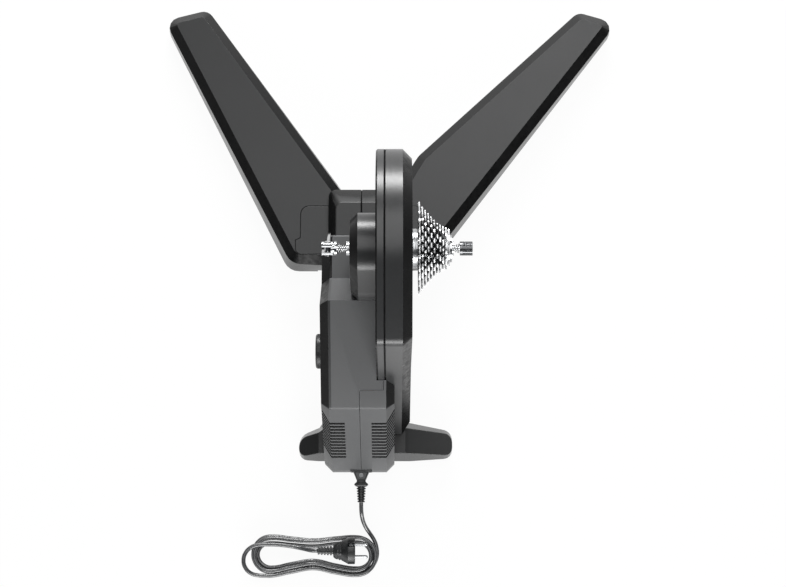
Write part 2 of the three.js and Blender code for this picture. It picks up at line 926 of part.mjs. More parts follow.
function basePlateSolid() {
  const lobe = (side) =>
    disc(
      "z",
      basePlate.lobeRadius,
      basePlate.top - basePlate.thickness,
      basePlate.top,
      partingX + side * leg.pivotX,
      leg.pivotY,
    );
  const outline = rounded([
    [partingX - basePlate.spineHalf, basePlate.rear, basePlate.edge],
    [partingX + basePlate.spineHalf, basePlate.rear, basePlate.edge],
    [partingX + basePlate.spineHalf, leg.pivotY - basePlate.lobeRadius],
    [partingX + leg.pivotX, leg.pivotY],
    [partingX + basePlate.spineHalf, basePlate.front, basePlate.edge],
    [partingX - basePlate.spineHalf, basePlate.front, basePlate.edge],
    [partingX - leg.pivotX, leg.pivotY],
    [partingX - basePlate.spineHalf, leg.pivotY - basePlate.lobeRadius],
  ]);
  const plate = prism("z", outline, basePlate.top - basePlate.thickness, basePlate.top);
  const holes = [-1, 1].map((side) =>
    disc(
      "z",
      pin.radius + gap,
      0,
      basePlate.top + overrun,
      partingX + side * leg.pivotX,
      leg.pivotY,
      pin.facets,
    ),
  );
  return cut(join(plate, lobe(-1), lobe(1)), ...holes);
}

// Legs, each in its own frame: origin on the pivot, Y along the leg, X towards the bike's centre plane.

const legTop = (p) => leg.top - leg.fall * p.y;

const sided = (outline, side) => outline.map((p) => point(-side * p.x, p.y));
const innerEdge = (spec, y, draft) => spec.inner - spec.innerTaper * y - draft;
const outerEdge = (spec, y, draft) => -(spec.outer - spec.outerTaper * y - draft);
const draftAt = (spec, y, skirt) =>
  skirt ? THREE.MathUtils.lerp(spec.rootDraft, spec.tipDraft, Math.max(0, y) / spec.length) : 0;

function legOutline(spec, skirt) {
  const small = skirt ? spec.tipDraft : 0;
  const radius = leg.rootRadius - small;
  const arc = Array.from({ length: leg.rootFacets + 1 }, (_, k) => {
    const angle = (spec.rootStart + ((leg.rootEnd - spec.rootStart) * k) / leg.rootFacets) * degree;
    return [radius * Math.cos(angle), radius * Math.sin(angle)];
  });
  const innerTip = spec.length - spec.tipLean / 2;
  const outerTip = spec.length + spec.tipLean / 2;
  const side = (edge, y) => edge(spec, y, draftAt(spec, y, skirt));
  return rounded([
    [-spec.rearHalf + draftAt(spec, 0, skirt), -spec.rearLead + small, leg.cornerRadius],
    ...arc,
    [side(innerEdge, spec.innerStart), spec.innerStart, spec.innerRadius],
    [side(innerEdge, innerTip), innerTip - small, leg.tipRadius],
    [side(outerEdge, outerTip), outerTip - small, leg.tipRadius],
  ]);
}

function capOutline(spec, grow) {
  const outline = rounded([
    [-cap.outer - leg.capStep - grow, -cap.rear - grow, cap.rearRadius],
    [cap.inner + grow, -cap.rear - grow, cap.innerRadius],
    [cap.inner + grow, cap.front + grow, cap.innerRadius],
    [-cap.outer - grow, cap.front + grow, cap.radius],
    [-cap.outer - grow, -cap.rear + cap.stepFromRear + leg.capStep / 2 + grow],
    [-cap.outer - leg.capStep - grow, -cap.rear + cap.stepFromRear + grow],
  ]);
  return outline.map((p) => p.clone().rotateAround(point(0, 0), -spec.openAngle * degree));
}

// Pockets between the ribs below a leg
function legPockets(spec) {
  const start = leg.plateRecess + leg.ribThickness;
  const end = spec.length - leg.solidTip;
  const bays = Math.round((end - start) / leg.bay);
  return Array.from({ length: bays }, (_, k) => {
    const y0 = start + ((end - start) * k) / bays;
    const y1 = start + ((end - start) * (k + 1)) / bays - leg.ribThickness;
    const corner = (edge, y, inward) => point(edge(spec, y, draftAt(spec, y, true)) + inward * leg.skin, y);
    const outline = [
      corner(outerEdge, y0, 1),
      corner(innerEdge, y0, -1),
      corner(innerEdge, y1, -1),
      corner(outerEdge, y1, 1),
    ];
    return loft("z", [
      { outline: sided(outline, spec.side), at: leg.bottom - overrun },
      { outline: sided(outline, spec.side), at: (p) => legTop(p) - leg.pocketTop },
    ]);
  });
}

function legSolid(spec) {
  const foot = legOutline(spec, false);
  const skirt = legOutline(spec, true);
  const body = loft("z", [
    { outline: sided(foot, spec.side), at: leg.bottom },
    { outline: sided(skirt, spec.side), at: (p) => legTop(p) - leg.chamfer },
    { outline: sided(inset(skirt, leg.chamfer), spec.side), at: legTop },
  ]);
  const reach = leg.plateRecess;
  const inner = box(
    spec.side < 0 ? -leg.recessOuter : -reach,
    spec.side < 0 ? reach : leg.recessOuter,
    -reach,
    reach,
    0,
    leg.top,
  );
  const recess = join(
    disc("z", leg.plateRecess, leg.bottom - overrun, basePlate.top + gap).intersect(inner),
    disc("z", leg.lobeRecess, leg.bottom - overrun, basePlate.top + gap),
  );
  const bore = disc("z", pin.radius + gap, 0, leg.top + overrun);
  const headRoom = disc("z", pin.headRadius + gap, pin.headBottom - gap, leg.top + overrun);
  const capRoom = loft("z", [
    { outline: sided(capOutline(spec, seam), spec.side), at: (p) => legTop(p) - leg.capDepth - gap },
    { outline: sided(capOutline(spec, seam), spec.side), at: leg.top + overrun },
  ]);
  return cut(body, recess, bore, headRoom, capRoom, ...legPockets(spec));
}

function legCap(spec) {
  const outline = sided(capOutline(spec, 0), spec.side);
  return loft("z", [
    { outline, at: (p) => legTop(p) - leg.capDepth },
    { outline, at: legTop },
  ]);
}

function legPad(spec) {
  const y0 = spec.length - leg.solidTip + leg.padInset;
  const innerTip = spec.length - spec.tipLean / 2 - leg.padInset;
  const outerTip = spec.length + spec.tipLean / 2 - 2 * leg.padInset;
  const at = (edge, y, inward) => [edge(spec, y, 0) + inward * leg.padInset, y];
  const outline = rounded([
    [...at(outerEdge, y0, 1), leg.padInset],
    [...at(innerEdge, y0, -1), leg.padInset],
    [...at(innerEdge, innerTip, -1), leg.padCorner],
    [...at(outerEdge, outerTip, 1), leg.padCorner],
  ]);
  return prism("z", sided(outline, spec.side), 0, leg.bottom - gap);
}

function pivotPin(side) {
  const x = partingX + side * leg.pivotX;
  const body = disc("z", pin.radius, pin.bottom, pin.headBottom + pin.headHeight, x, leg.pivotY);
  const head = disc("z", pin.headRadius, pin.headBottom, pin.headBottom + pin.headHeight, x, leg.pivotY);
  return join(body, head);
}

// Rear foot: a low bar with rounded ends; its top falls beyond the creases beside the housings
function rearFootSolid() {
  const { bottom, stations, tipRadius, tipSteps } = rearFoot;
  const along = (x) => {
    const next = Math.max(1, stations.findIndex((station) => station.x >= x));
    const [a, b] = [stations[next - 1], stations[next]];
    return (key) => THREE.MathUtils.mapLinear(x, a.x, b.x, a[key], b[key]);
  };
  const section = (x, narrowing) => {
    const [rear, topRear, topFront, front, top] = ["rear", "topRear", "topFront", "front", "top"].map(along(x));
    return [
      point(rearBottomY + rear + narrowing, bottom),
      point(rearBottomY + front - narrowing, bottom),
      point(rearBottomY + topFront - narrowing, top),
      point(rearBottomY + topRear + narrowing, top),
    ];
  };
  const tip = (end, inward) =>
    Array.from({ length: tipSteps + 1 }, (_, k) => {
      const angle = (Math.PI / 2) * (k / tipSteps);
      const x = end + inward * tipRadius * (1 - Math.sin(angle));
      return { outline: section(x, tipRadius * (1 - Math.cos(angle))), at: x };
    });
  const middle = stations.slice(1, -1).map(({ x }) => ({ outline: section(x, 0), at: x }));
  return loft("x", [...tip(stations[0].x, 1).reverse(), ...middle, ...tip(stations.at(-1).x, -1)]);
}

function rearPad(side) {
  const end = rearFoot.stations.at(side < 0 ? 0 : -1).x;
  const outer = end - side * rearFoot.padInset;
  const inner = outer - side * rearFoot.padLength;
  const padRear = rearBottomY + rearFoot.padRear;
  const padFront = rearBottomY + rearFoot.padFront;
  const outline = rounded([
    [Math.min(outer, inner), padRear, rearFoot.padInset],
    [Math.max(outer, inner), padRear, rearFoot.padInset],
    [Math.max(outer, inner), padFront, rearFoot.padInset],
    [Math.min(outer, inner), padFront, rearFoot.padInset],
  ]);
  return prism("z", outline, 0, rearFoot.bottom - gap);
}

// Drive

function flywheelSolid() {
  const { left, right, radius, rimDepth, dish, hubRadius } = flywheel;
  const bore = shaft.radius + gap;
  return onFlywheel(
    [
      [bore, left],
      [hubRadius, left],
      [hubRadius + dish, left + dish],
      [radius - rimDepth - dish, left + dish],
      [radius - rimDepth, left],
      [radius, left],
      [radius, right],
      [radius - rimDepth, right],
      [radius - rimDepth - dish, right - dish],
      [hubRadius + dish, right - dish],
      [hubRadius, right],
      [bore, right],
      [bore, left],
    ],
    wide,
  );
}

function smallPulleySolid() {
  const { radius, ribs, ribDepth } = smallPulley;
  const width = (belt.right - belt.left) / ribs;
  const profile = [
    [shaft.radius + gap, belt.left],
    [radius, belt.left],
  ];
  for (let k = 0; k < ribs; k++) {
    profile.push([radius - ribDepth, belt.left + width * (k + 0.5)]);
    profile.push([radius, belt.left + width * (k + 1)]);
  }
  profile.push([shaft.radius + gap, belt.right], profile[0]);
  return onFlywheel(profile);
}

// The large pulley, its sleeve and the flange beside the cassette turn as one
function hubSolid() {
  const rimInner = bigPulley.radius - bigPulley.rim;
  const middle = (belt.left + belt.right) / 2;
  const seat = hubBearing.outer + gap;
  const bore = axle.radius + axle.room;
  const seatEnd = belt.left + hubBearing.width + gap;
  return onAxle(
    [
      [seat, belt.left],
      [bigPulley.sleeveRadius, belt.left],
      [bigPulley.sleeveRadius, middle - bigPulley.web / 2],
      [rimInner, middle - bigPulley.web / 2],
      [rimInner, belt.left],
      [bigPulley.radius, belt.left],
      [bigPulley.radius, belt.right],
      [rimInner, belt.right],
      [rimInner, middle + bigPulley.web / 2],
      [bigPulley.sleeveRadius, middle + bigPulley.web / 2],
      [bigPulley.sleeveRadius, flange.left],
      [flange.radius, flange.left],
      [flange.radius, flange.right],
      [bore, flange.right],
      [bore, seatEnd],
      [seat, seatEnd],
      [seat, belt.left],
    ],
    wide,
  );
}

function beltLoop(grow) {
  const large = bigPulley.radius + gap + grow;
  const small = smallPulley.radius + gap + grow;
  const across = point(flywheel.y, flywheel.z - axleHeight);
  const towards = across.angle();
  const open = Math.acos((large - small) / across.length());
  const arc = (radius, y, z, from, to, facets) =>
    Array.from({ length: facets + 1 }, (_, k) => {
      const angle = from + ((to - from) * k) / facets;
      return point(y + radius * Math.cos(angle), z + radius * Math.sin(angle));
    });
  return [
    ...arc(large, 0, axleHeight, towards + open, towards + turn - open, wide),
    ...arc(small, flywheel.y, flywheel.z, towards - open, towards + open, fine),
  ];
}

const beltSolid = () =>
  cut(
    prism("x", beltLoop(belt.thickness), belt.left, belt.right),
    prism("x", beltLoop(0), belt.left - overrun, belt.right + overrun),
  );

function statorSolid() {
  const right = cover.innerLeft - gap;
  const left = right - stator.plate;
  const plate = onFlywheel(ringProfile(stator.inner, stator.outer, left, right));
  const poles = Array.from({ length: stator.poles }, (_, k) => {
    const angle = (turn * k) / stator.poles;
    const y = flywheel.y + stator.poleCentre * Math.cos(angle);
    const z = flywheel.z + stator.poleCentre * Math.sin(angle);
    return disc("x", stator.poleRadius, flywheel.right + stator.clearance, right, y, z, fine);
  });
  return join(plate, ...poles);
}

function boardSolid() {
  const bottom = footTop;
  const plate = box(board.left, board.right, board.rear, board.front, bottom, bottom + board.thickness);
  const middle = (board.left + board.right) / 2;
  const parts = board.partShares.map((share) => {
    const y = THREE.MathUtils.lerp(board.rear, board.front, share);
    return disc("z", board.partRadius, bottom, bottom + board.partHeight, middle, y, fine);
  });
  return join(plate, ...parts);
}

// Cassette

// Teeth or ribs round a circle. The shares of a pitch give their half widths; at a root share of one half the
// roots of two teeth meet.
function gearOutline(count, root, tip, shares = gripShares) {
  const outline = [];
  for (let k = 0; k < count; k++) {
    const step = turn / count;
    const at = (radius, share) => point(radius * Math.cos(step * (k + share)), radius * Math.sin(step * (k + share)));
    if (shares.root < 1 / 2) outline.push(at(root, -shares.root));
    outline.push(at(tip, -shares.tip), at(tip, shares.tip), at(root, shares.root));
  }
  return outline;
}

const onAxleOutline = (outline) => outline.map((p) => point(p.x, p.y + axleHeight));

function cogSolid(teeth, index) {
  const left = cog.firstX + index * cog.pitch;
  const pitchRadius = cog.chainPitch / (2 * Math.sin(Math.PI / teeth));
  const root = pitchRadius - cog.rollerRadius;
  const tip = pitchRadius + cog.tipHeight;
  const bore = freehub.radius + gap;
  const outline = gearOutline(teeth, root, tip, cog.toothShares);
  const plate = prism("x", onAxleOutline(outline), left, left + cog.thickness);
  const spacerEnd = left + (index + 1 < cogTeeth.length ? cog.pitch - gap : cog.thickness);
  const spacerRadius = Math.min(root - gap, bore + cog.spacerWall);
  const solid = join(plate, disc("x", spacerRadius, left, spacerEnd, 0, axleHeight));
  const hole = disc("x", bore, left - overrun, left + cog.pitch + overrun, 0, axleHeight);
  const windows = [];
  const outer = root - cog.rimDepth;
  const inner = bore + cog.spacerWall + cog.hubRing;
  if (outer - inner > cog.leastWindow)
    for (let k = 0; k < cog.arms; k++) {
      const half = (radius) => Math.PI / cog.arms - Math.asin(cog.armWidth / 2 / radius);
      const middle = (turn * (k + 1 / 2)) / cog.arms + index * cog.armTurn;
      const edge = (radius, from, to) =>
        Array.from({ length: cog.windowSteps + 1 }, (_, i) => {
          const angle = middle + from + ((to - from) * i) / cog.windowSteps;
          return point(radius * Math.cos(angle), axleHeight + radius * Math.sin(angle));
        });
      const outlineOfWindow = [...edge(outer, -half(outer), half(outer)), ...edge(inner, half(inner), -half(inner))];
      windows.push(prism("x", outlineOfWindow, left - overrun, left + cog.thickness + gap));
    }
  return cut(solid, hole, ...windows);
}

function freehubSolid() {
  const outline = gearOutline(freehub.splines, freehub.radius - freehub.splineHeight, freehub.radius);
  const body = prism("x", onAxleOutline(outline), freehub.left, freehub.right);
  const seatLeft = freehub.right - hubBearing.width - freehub.seatRoom;
  const bore = disc("x", axle.radius + axle.room, freehub.left - overrun, freehub.right, 0, axleHeight);
  const seat = disc("x", hubBearing.outer + gap, seatLeft, freehub.right + overrun, 0, axleHeight);
  return cut(body, bore, seat);
}

function lockringSolid() {
  const left = cog.firstX + (cogTeeth.length - 1) * cog.pitch + cog.thickness + gap;
  const outer = disc("x", lockring.radius, left, left + lockring.thickness, 0, axleHeight);
  const teeth = gearOutline(lockring.notches, lockring.bore + lockring.notchDepth, lockring.bore);
  return cut(outer, prism("x", onAxleOutline(teeth), left - overrun, left + lockring.thickness + overrun));
}

function axleSolid() {
  const end = frameEnd - axle.endLength - gap;
  return onAxle(ringProfile(axle.bore, axle.radius, -end, end));
}

function axleEnd(side) {
  const outside = side * frameEnd;
  const inside = side * (frameEnd - axle.endLength);
  const outline = onAxleOutline(gearOutline(axle.knurls, axle.endRadius - axle.knurlDepth, axle.endRadius));
  const x0 = Math.min(inside, outside);
  const x1 = Math.max(inside, outside);
  return cut(prism("x", outline, x0, x1), disc("x", axle.bore, x0 - overrun, x1 + overrun, 0, axleHeight, fine));
}

// Skewer

// The head and the lever are made about the skewer's own axis, with the lever hanging along -Z.
function skewerHead() {
  const outline = gearOutline(skewer.ribs, skewer.headRadius - skewer.ribDepth, skewer.headRadius);
  const grip = prism("x", outline, skewer.headLeft, skewer.grooveLeft);
  const { overlap, hingeFacets } = skewer;
  const groove = disc("x", skewer.grooveRadius, skewer.grooveLeft - overlap, skewer.flangeLeft + overlap);
  const collar = disc("x", skewer.flangeRadius, skewer.flangeLeft, skewer.gripLeft);
  const bore = disc("x", skewer.rodRadius + gap, skewer.rodLeft - gap, skewer.gripLeft + overrun, 0, 0, fine);
  const reach = skewer.headRadius + overrun;
  const hinge = disc("y", skewer.hingeRadius + gap, -reach, reach, 0, skewer.hingeX, hingeFacets);
  const slotRight = skewer.hingeX + skewer.hingeRadius + gap;
  const slot = box(skewer.headLeft - overrun, slotRight, -skewer.slotHalf, skewer.slotHalf, -reach, reach);
  return cut(join(grip, groove, collar), bore, hinge, slot);
}

function skewerLever() {
  const { hingeX, leverHalf, leverNeckHalf, leverNeckEnd, leverShoulder, leverLength, leverThickness } = skewer;
  const hinge = disc("y", skewer.hingeRadius, -skewer.hingeHalf, skewer.hingeHalf, 0, hingeX, skewer.hingeFacets);
  const outline = rounded([
    [leverNeckHalf, 0],
    [-leverNeckHalf, 0],
    [-leverNeckHalf, -leverNeckEnd],
    [-leverHalf, -leverShoulder],
    [-leverHalf, -leverLength, leverHalf - leastRadius],
    [leverHalf, -leverLength, leverHalf - leastRadius],
    [leverHalf, -leverShoulder],
    [leverNeckHalf, -leverNeckEnd],
  ]);
  return join(hinge, prism("x", outline, hingeX - leverThickness / 2, hingeX + leverThickness / 2));
}

function skewerNut() {
  const { nutLeft, nutCollar, nutRadius, nutRight, overlap, rodRadius, rodRight } = skewer;
  const outline = gearOutline(skewer.nutRibs, nutRadius - skewer.ribDepth, nutRadius);
  const grip = prism("x", onAxleOutline(outline), nutLeft + nutCollar - overlap, nutRight);
  const collar = disc("x", nutRadius, nutLeft, nutLeft + nutCollar, 0, axleHeight);
  const bore = disc("x", rodRadius + gap, nutLeft - overrun, rodRight + gap, 0, axleHeight, fine);
  return cut(join(grip, collar), bore);
}

// A tube along a curve
function tubeSolid(curve, radius, sides, steps) {
  const section = new THREE.Shape(circle(radius, 0, 0, sides));
  return solidOf(new THREE.ExtrudeGeometry(section, { steps, extrudePath: curve, bevelEnabled: false }));
}

function springSolid(from, to) {
  const inner = Math.min(Math.abs(from), Math.abs(to));
  const direction = Math.sign(from);
  const length = Math.abs(to - from) - 2 * (skewer.springWire + gap);
  const turns = Math.floor(length / skewer.springPitch);
  const steps = turns * skewer.springSteps;
  const points = Array.from({ length: steps + 1 }, (_, k) => {
    const share = k / steps;
    const radius = THREE.MathUtils.lerp(skewer.springSmall, skewer.springLarge, share);
    const angle = turn * turns * share;
    const x = direction * (inner + skewer.springWire + gap + length * share);
    return new THREE.Vector3(x, radius * Math.cos(angle), axleHeight + radius * Math.sin(angle));
  });
  return tubeSolid(new THREE.CatmullRomCurve3(points), skewer.springWire, skewer.springSides, steps);
}

// Power connection

// An ellipse at power 2; higher powers make it squarer.
function oval(halfU, halfV, u, v, power = 2, count = fine) {
  return Array.from({ length: count }, (_, k) => {
    const angle = (turn * k) / count;
    const c = Math.cos(angle);
    const s = Math.sin(angle);
    const x = Math.sign(c) * Math.abs(c) ** (2 / power) * halfU;
    const y = Math.sign(s) * Math.abs(s) ** (2 / power) * halfV;
    return point(u + x, v + y);
  });
}

// Rings of a strain relief from its thin end to its thick end
function reliefRings(shape, thinAt, wideAt, ribs, ribDepth, placeRing) {
  const rings = [];
  const step = (wideAt - thinAt) / ribs;
  for (let k = 0; k < ribs; k++) {
    const radius = THREE.MathUtils.lerp(shape.thin, shape.wide, k / (ribs - 1));
    const at = thinAt + step * k;
    const { grooveEnd, start, end } = ribShares;
    rings.push(placeRing(radius - ribDepth, at), placeRing(radius - ribDepth, at + step * grooveEnd));
    rings.push(placeRing(radius, at + step * start), placeRing(radius, at + step * end));
  }
  return rings;
}

function connectorSolid() {
  const c = connector;
  const ring = (halfX, halfZ, at, power = c.squareness) => ({ outline: oval(halfZ, halfX, inlet.z, inlet.x, power), at });
  const relief = { thin: c.reliefThin, wide: c.reliefWide };
  return loft("y", [
    ...reliefRings(relief, c.reliefEnd, c.flangeY - gap, c.ribs, c.ribDepth, (r, at) => ring(r, r, at, 2)),
    ring(c.flangeHalf, c.flangeHeight, c.flangeY),
    ring(c.flangeHalf, c.flangeHeight, c.flangeY + c.flangeDepth),
    ring(c.neckHalf, c.neckHalf, c.flangeY + c.flangeDepth + gap),
    ring(c.neckHalf, c.neckHalf, c.neck),
    ring(c.halfWidth, c.halfHeight, c.shoulder),
    ring(c.halfWidth, c.halfHeight, c.start),
  ]);
}

function inletSolid() {
  const { x, z, halfWidth, halfHeight, wall } = inlet;
  const body = box(x - halfWidth, x + halfWidth, inlet.outer, inlet.inner, z - halfHeight, z + halfHeight);
  const hollow = box(
    x - halfWidth + wall,
    x + halfWidth - wall,
    inlet.outer - overrun,
    inlet.inner - wall,
    z - halfHeight + wall,
    z + halfHeight - wall,
  );
  return cut(body, hollow);
}

// The cord's free lead, hank and tail; the route's points are chosen by hand.
const leadRoute = [
  [-53.5, -300.3, 28],
  [-53.5, -305.5, 27.8],
  [-53.2, -313, 25.6],
  [-52.2, -320.5, 20.6],
  [-50, -328, 14],
  [-46.3, -335.2, 8.2],
  [-41.6, -342, 4.2],
  [-37, -348.8, 2.7],
  [-33.6, -355.8, 2.5],
  [-31.9, -362.8, 2.5],
  [-31.7, -369.7, 2.5],
];
const tailRoute = [
  [-180.8, -400.8, 9],
  [-189, -401.1, 9.1],
  [-198, -400.5, 9.8],
  [-208, -397.5, 11.6],
  [-215.4, -390, 13.8],
  [-218, -379.5, 15.4],
  [-215, -369.2, 16],
  [-207.4, -361.8, 16],
  [-197, -358.5, 16],
  [-184, -357.9, 16],
  [-170, -358.3, 16],
  [-156, -359.8, 16],
  [-144, -361.9, 16.8],
  [-134, -364, 19.7],
  [-125, -366.2, 24.6],
  [-119, -366.9, 26.9],
  [-114.3, -367, 27.4],
];

// Clockwise loops in two layers: the lower one winds inwards, the upper one winds outwards again.
class HankCurve extends THREE.Curve {
  getPoint(share, target = new THREE.Vector3()) {
    const { turnSteps, runSteps, stepsPerLoop, steps } = hank;
    const at = share * steps;
    const phase = at % stepsPerLoop;
    const inward = (hank.pitch * Math.min(at, steps - at)) / stepsPerLoop;
    const slide = THREE.MathUtils.smoothstep(at, steps / 2 - 2 * hank.climbSteps, steps / 2);
    const climb = THREE.MathUtils.smoothstep(at, steps / 2 - 1, steps / 2 + 2 * hank.climbSteps - 1);
    const radius = hank.radius - inward;
    const quarter = turnSteps / 2;
    let x;
    let across;
    if (phase < quarter || phase > stepsPerLoop - quarter) {
      const angle = (-Math.PI * phase) / turnSteps;
      const whole = phase < quarter ? angle : angle + (Math.PI * stepsPerLoop) / turnSteps;
      x = hank.rightX + radius * Math.cos(whole);
      across = radius * Math.sin(whole);
    } else if (phase <= quarter + runSteps) {
      x = THREE.MathUtils.lerp(hank.rightX, hank.leftX, (phase - quarter) / runSteps);
      across = -radius;
    } else if (phase < quarter + runSteps + turnSteps) {
      const angle = -Math.PI / 2 - (Math.PI * (phase - quarter - runSteps)) / turnSteps;
      x = hank.leftX + radius * Math.cos(angle);
      across = radius * Math.sin(angle);
    } else {
      x = THREE.MathUtils.lerp(hank.leftX, hank.rightX, (phase - quarter - runSteps - turnSteps) / runSteps);
      across = radius;
    }
    const along = THREE.MathUtils.clamp((x - hank.waistX) / hank.waistHalf, -1, 1);
    const bell = Math.cos((along * Math.PI) / 2) ** 2;
    const drawn = across > 0 ? -hank.topWaist * bell : hank.bottomWaist * bell;
    return target.set(x, hank.y + across + drawn + hank.layerShift * slide, cord.floor + hank.layer * climb);
  }
}

const routeCurve = (route) =>
  new THREE.CatmullRomCurve3(
    route.map((p) => new THREE.Vector3(...p)),
    false,
    "centripetal",
  );

const leadCurve = routeCurve(leadRoute);
const hankCurve = new HankCurve();
const tailCurve = routeCurve(tailRoute);

// Least distance from the hank to itself, between points that are at least a quarter loop apart
function leastHankGap() {
  const count = hank.steps * hank.gapSamples;
  const points = Array.from({ length: count + 1 }, (_, k) => hankCurve.getPoint(k / count));
  const apart = (hank.stepsPerLoop * hank.gapSamples) / 4;
  let least = Infinity;
  points.forEach((a, i) => {
    for (let j = i + apart; j < points.length; j++) least = Math.min(least, a.distanceTo(points[j]));
  });
  return least - 2 * cord.radius;
}

// The free forms lie on the floor: what would pass below it is cut off flat.
const floorReach = 1000;
const belowFloor = box(-floorReach, floorReach, -floorReach, floorReach, -floorReach, 0);
const floorTube = (curve, sides, steps) => cut(tubeSolid(curve, cord.radius, sides, steps), belowFloor);

// Plug: a round earthed body with two pins, lying on the hank
function plugBody() {
  const rings = [
    [plug.rear, plug.rearRadius, plug.rearRadius, plug.gripSquareness],
    [plug.shoulderX, plug.rearRadius + plug.shoulderStep, plug.gripWidth, plug.gripSquareness],
    [plug.gripX, plug.gripWidth, plug.radius, plug.gripSquareness],
    [plug.bodyX, plug.radius, plug.radius],
    [plug.face - plug.faceEdge, plug.radius, plug.radius],
    [plug.face, plug.radius - plug.faceEdge, plug.radius - plug.faceEdge],
  ].map(([at, halfY, halfZ, power = 2]) => ({ outline: oval(halfY, halfZ, plug.y, plug.z, power, round), at }));
  const slots = [-1, 1].map((side) => {
    const inner = plug.z + side * (plug.radius - plug.earthDepth);
    const outer = plug.z + side * (plug.radius + overrun);
    const half = plug.earthWidth / 2;
    return box(
      plug.face - plug.earthLength,
      plug.face + overrun,
      plug.y - half,
      plug.y + half,
      Math.min(inner, outer),
      Math.max(inner, outer),
    );
  });
  const { face, pinRoot, pinLength, pinSides, pinRadius } = plug;
  const pins = [-1, 1].map((side) => {
    const y = plug.y + (side * plug.pinSpacing) / 2;
    return disc("x", pinRadius, face - pinRoot, face + pinLength, y, plug.z, pinSides);
  });
  return join(cut(loft("x", rings), ...slots), ...pins);
}

function plugRelief() {
  const ring = (radius, at) => ({ outline: oval(radius, radius, plug.y, plug.z, 2, plug.reliefSides), at });
  const shape = { thin: plug.reliefThin, wide: plug.reliefWide };
  return loft("x", reliefRings(shape, plug.reliefStart, plug.rear - gap, plug.ribs, plug.ribDepth, ring));
}

// Assembly

const { darkPaint, midPaint, blackPlastic, rubber, steel, chrome, aluminium, castIron, copper, nickel } = finishes;

add("base_plate", basePlateSolid(), darkPaint);
add("pivot_pin_left", pivotPin(-1), steel);
add("pivot_pin_right", pivotPin(1), steel);
add("front_block_left", frontBlock(-1), darkPaint);
add("front_block_right", frontBlock(1), darkPaint);
add("left_housing", leftHousing(), midPaint);
add("right_housing", rightHousing(), midPaint);
add("inner_belt_cover", innerCover(), midPaint);
add("outer_belt_cover", outerCover(), midPaint);
add("axle_housing", axleHousing(), darkPaint);
add("rear_foot", rearFootSolid(), darkPaint);
add("rear_pad_left", rearPad(-1), rubber);
add("rear_pad_right", rearPad(1), rubber);

for (const [name, spec] of Object.entries(legSides)) {
  const wing = new THREE.Group();
  wing.position.set(partingX + spec.side * leg.pivotX, leg.pivotY, 0);
  wing.rotation.z = -spec.side * spec.openAngle * degree;
  model.add(wing);
  add(`${name}_leg`, legSolid(spec), darkPaint, wing);
  add(`${name}_leg_cap`, legCap(spec), darkPaint, wing);
  add(`${name}_leg_pad`, legPad(spec), rubber, wing);
}

const flywheelCapSolid = onFlywheel([
  [0, housing.left - flywheelCap.height],
  [flywheelCap.radius - flywheelCap.edge, housing.left - flywheelCap.height],
  [flywheelCap.radius, housing.left - flywheelCap.height + flywheelCap.edge],
  [flywheelCap.radius, housing.left - gap],
  [0, housing.left - gap],
]);
add("flywheel_cap", flywheelCapSolid, blackPlastic);
add("flywheel", flywheelSolid(), castIron);
add("flywheel_shaft", onFlywheel(rodProfile(shaft.radius, shaft.left, shaft.right), bearing.facets), steel);
add("small_pulley", smallPulleySolid(), aluminium);
const leftBearingLeft = housing.left + housing.wall + gap;
const rightBearingRight = cover.innerLeft - cover.wall - gap;
const flywheelBearing = (left) =>
  onFlywheel(ringProfile(shaft.radius + gap, bearing.outer, left, left + bearing.width));
add("flywheel_bearing_left", flywheelBearing(leftBearingLeft), steel);
add("flywheel_bearing_right", flywheelBearing(rightBearingRight - bearing.width), steel);
add("brake_stator", statorSolid(), copper);
add("circuit_board", boardSolid(), finishes.board);
add("drive_belt", beltSolid(), rubber);
add("hub_pulley", hubSolid(), aluminium);

add("axle", axleSolid(), steel);
add("axle_end_left", axleEnd(-1), steel);
add("axle_end_right", axleEnd(1), steel);
const hubBearingAt = (left) =>
  onAxle(ringProfile(axle.radius + gap, hubBearing.outer, left, left + hubBearing.width));
add("hub_bearing_left", hubBearingAt(belt.left), steel);
add("hub_bearing_right", hubBearingAt(freehub.right - hubBearing.width - gap), steel);
add("freehub_body", freehubSolid(), aluminium);
cogTeeth.forEach((teeth, index) => add(`cog_${teeth}`, cogSolid(teeth, index), nickel));
add("cassette_lockring", lockringSolid(), nickel);

const rod = rodProfile(skewer.rodRadius, skewer.rodLeft, skewer.rodRight);
add("skewer_rod", onAxle(rod, skewer.rodFacets), steel);
const leverGroup = new THREE.Group();
leverGroup.position.set(0, 0, axleHeight);
leverGroup.rotation.x = skewer.leverLean * degree;
model.add(leverGroup);
add("skewer_head", skewerHead(), chrome, leverGroup);
add("skewer_lever", skewerLever(), chrome, leverGroup);
add("skewer_nut", skewerNut(), chrome);
add("skewer_spring_left", springSolid(-frameEnd, skewer.gripLeft), steel);
add("skewer_spring_right", springSolid(frameEnd, skewer.nutLeft), steel);

add("power_inlet", inletSolid(), blackPlastic);
const cordPieces = [
  add("power_connector", connectorSolid(), blackPlastic),
  add("cord_lead", floorTube(leadCurve, cord.sides, cord.leadSteps), finishes.cord),
  add("cord_hank", floorTube(hankCurve, cord.coilSides, hank.steps), finishes.cord),
  add("cord_tail", floorTube(tailCurve, cord.sides, cord.tailSteps), finishes.cord),
  add("plug_relief", plugRelief(), rubber),
  add("plug", plugBody(), blackPlastic),
];

// Centre the object on its footprint, without the cord and the pieces on it
const footprint = new THREE.Box3();
model.updateMatrixWorld(true);
for (const mesh of model.children) if (!cordPieces.includes(mesh)) footprint.expandByObject(mesh, true);
const middle = footprint.getCenter(new THREE.Vector3());
for (const child of model.children) child.position.sub(new THREE.Vector3(middle.x, middle.y, 0));

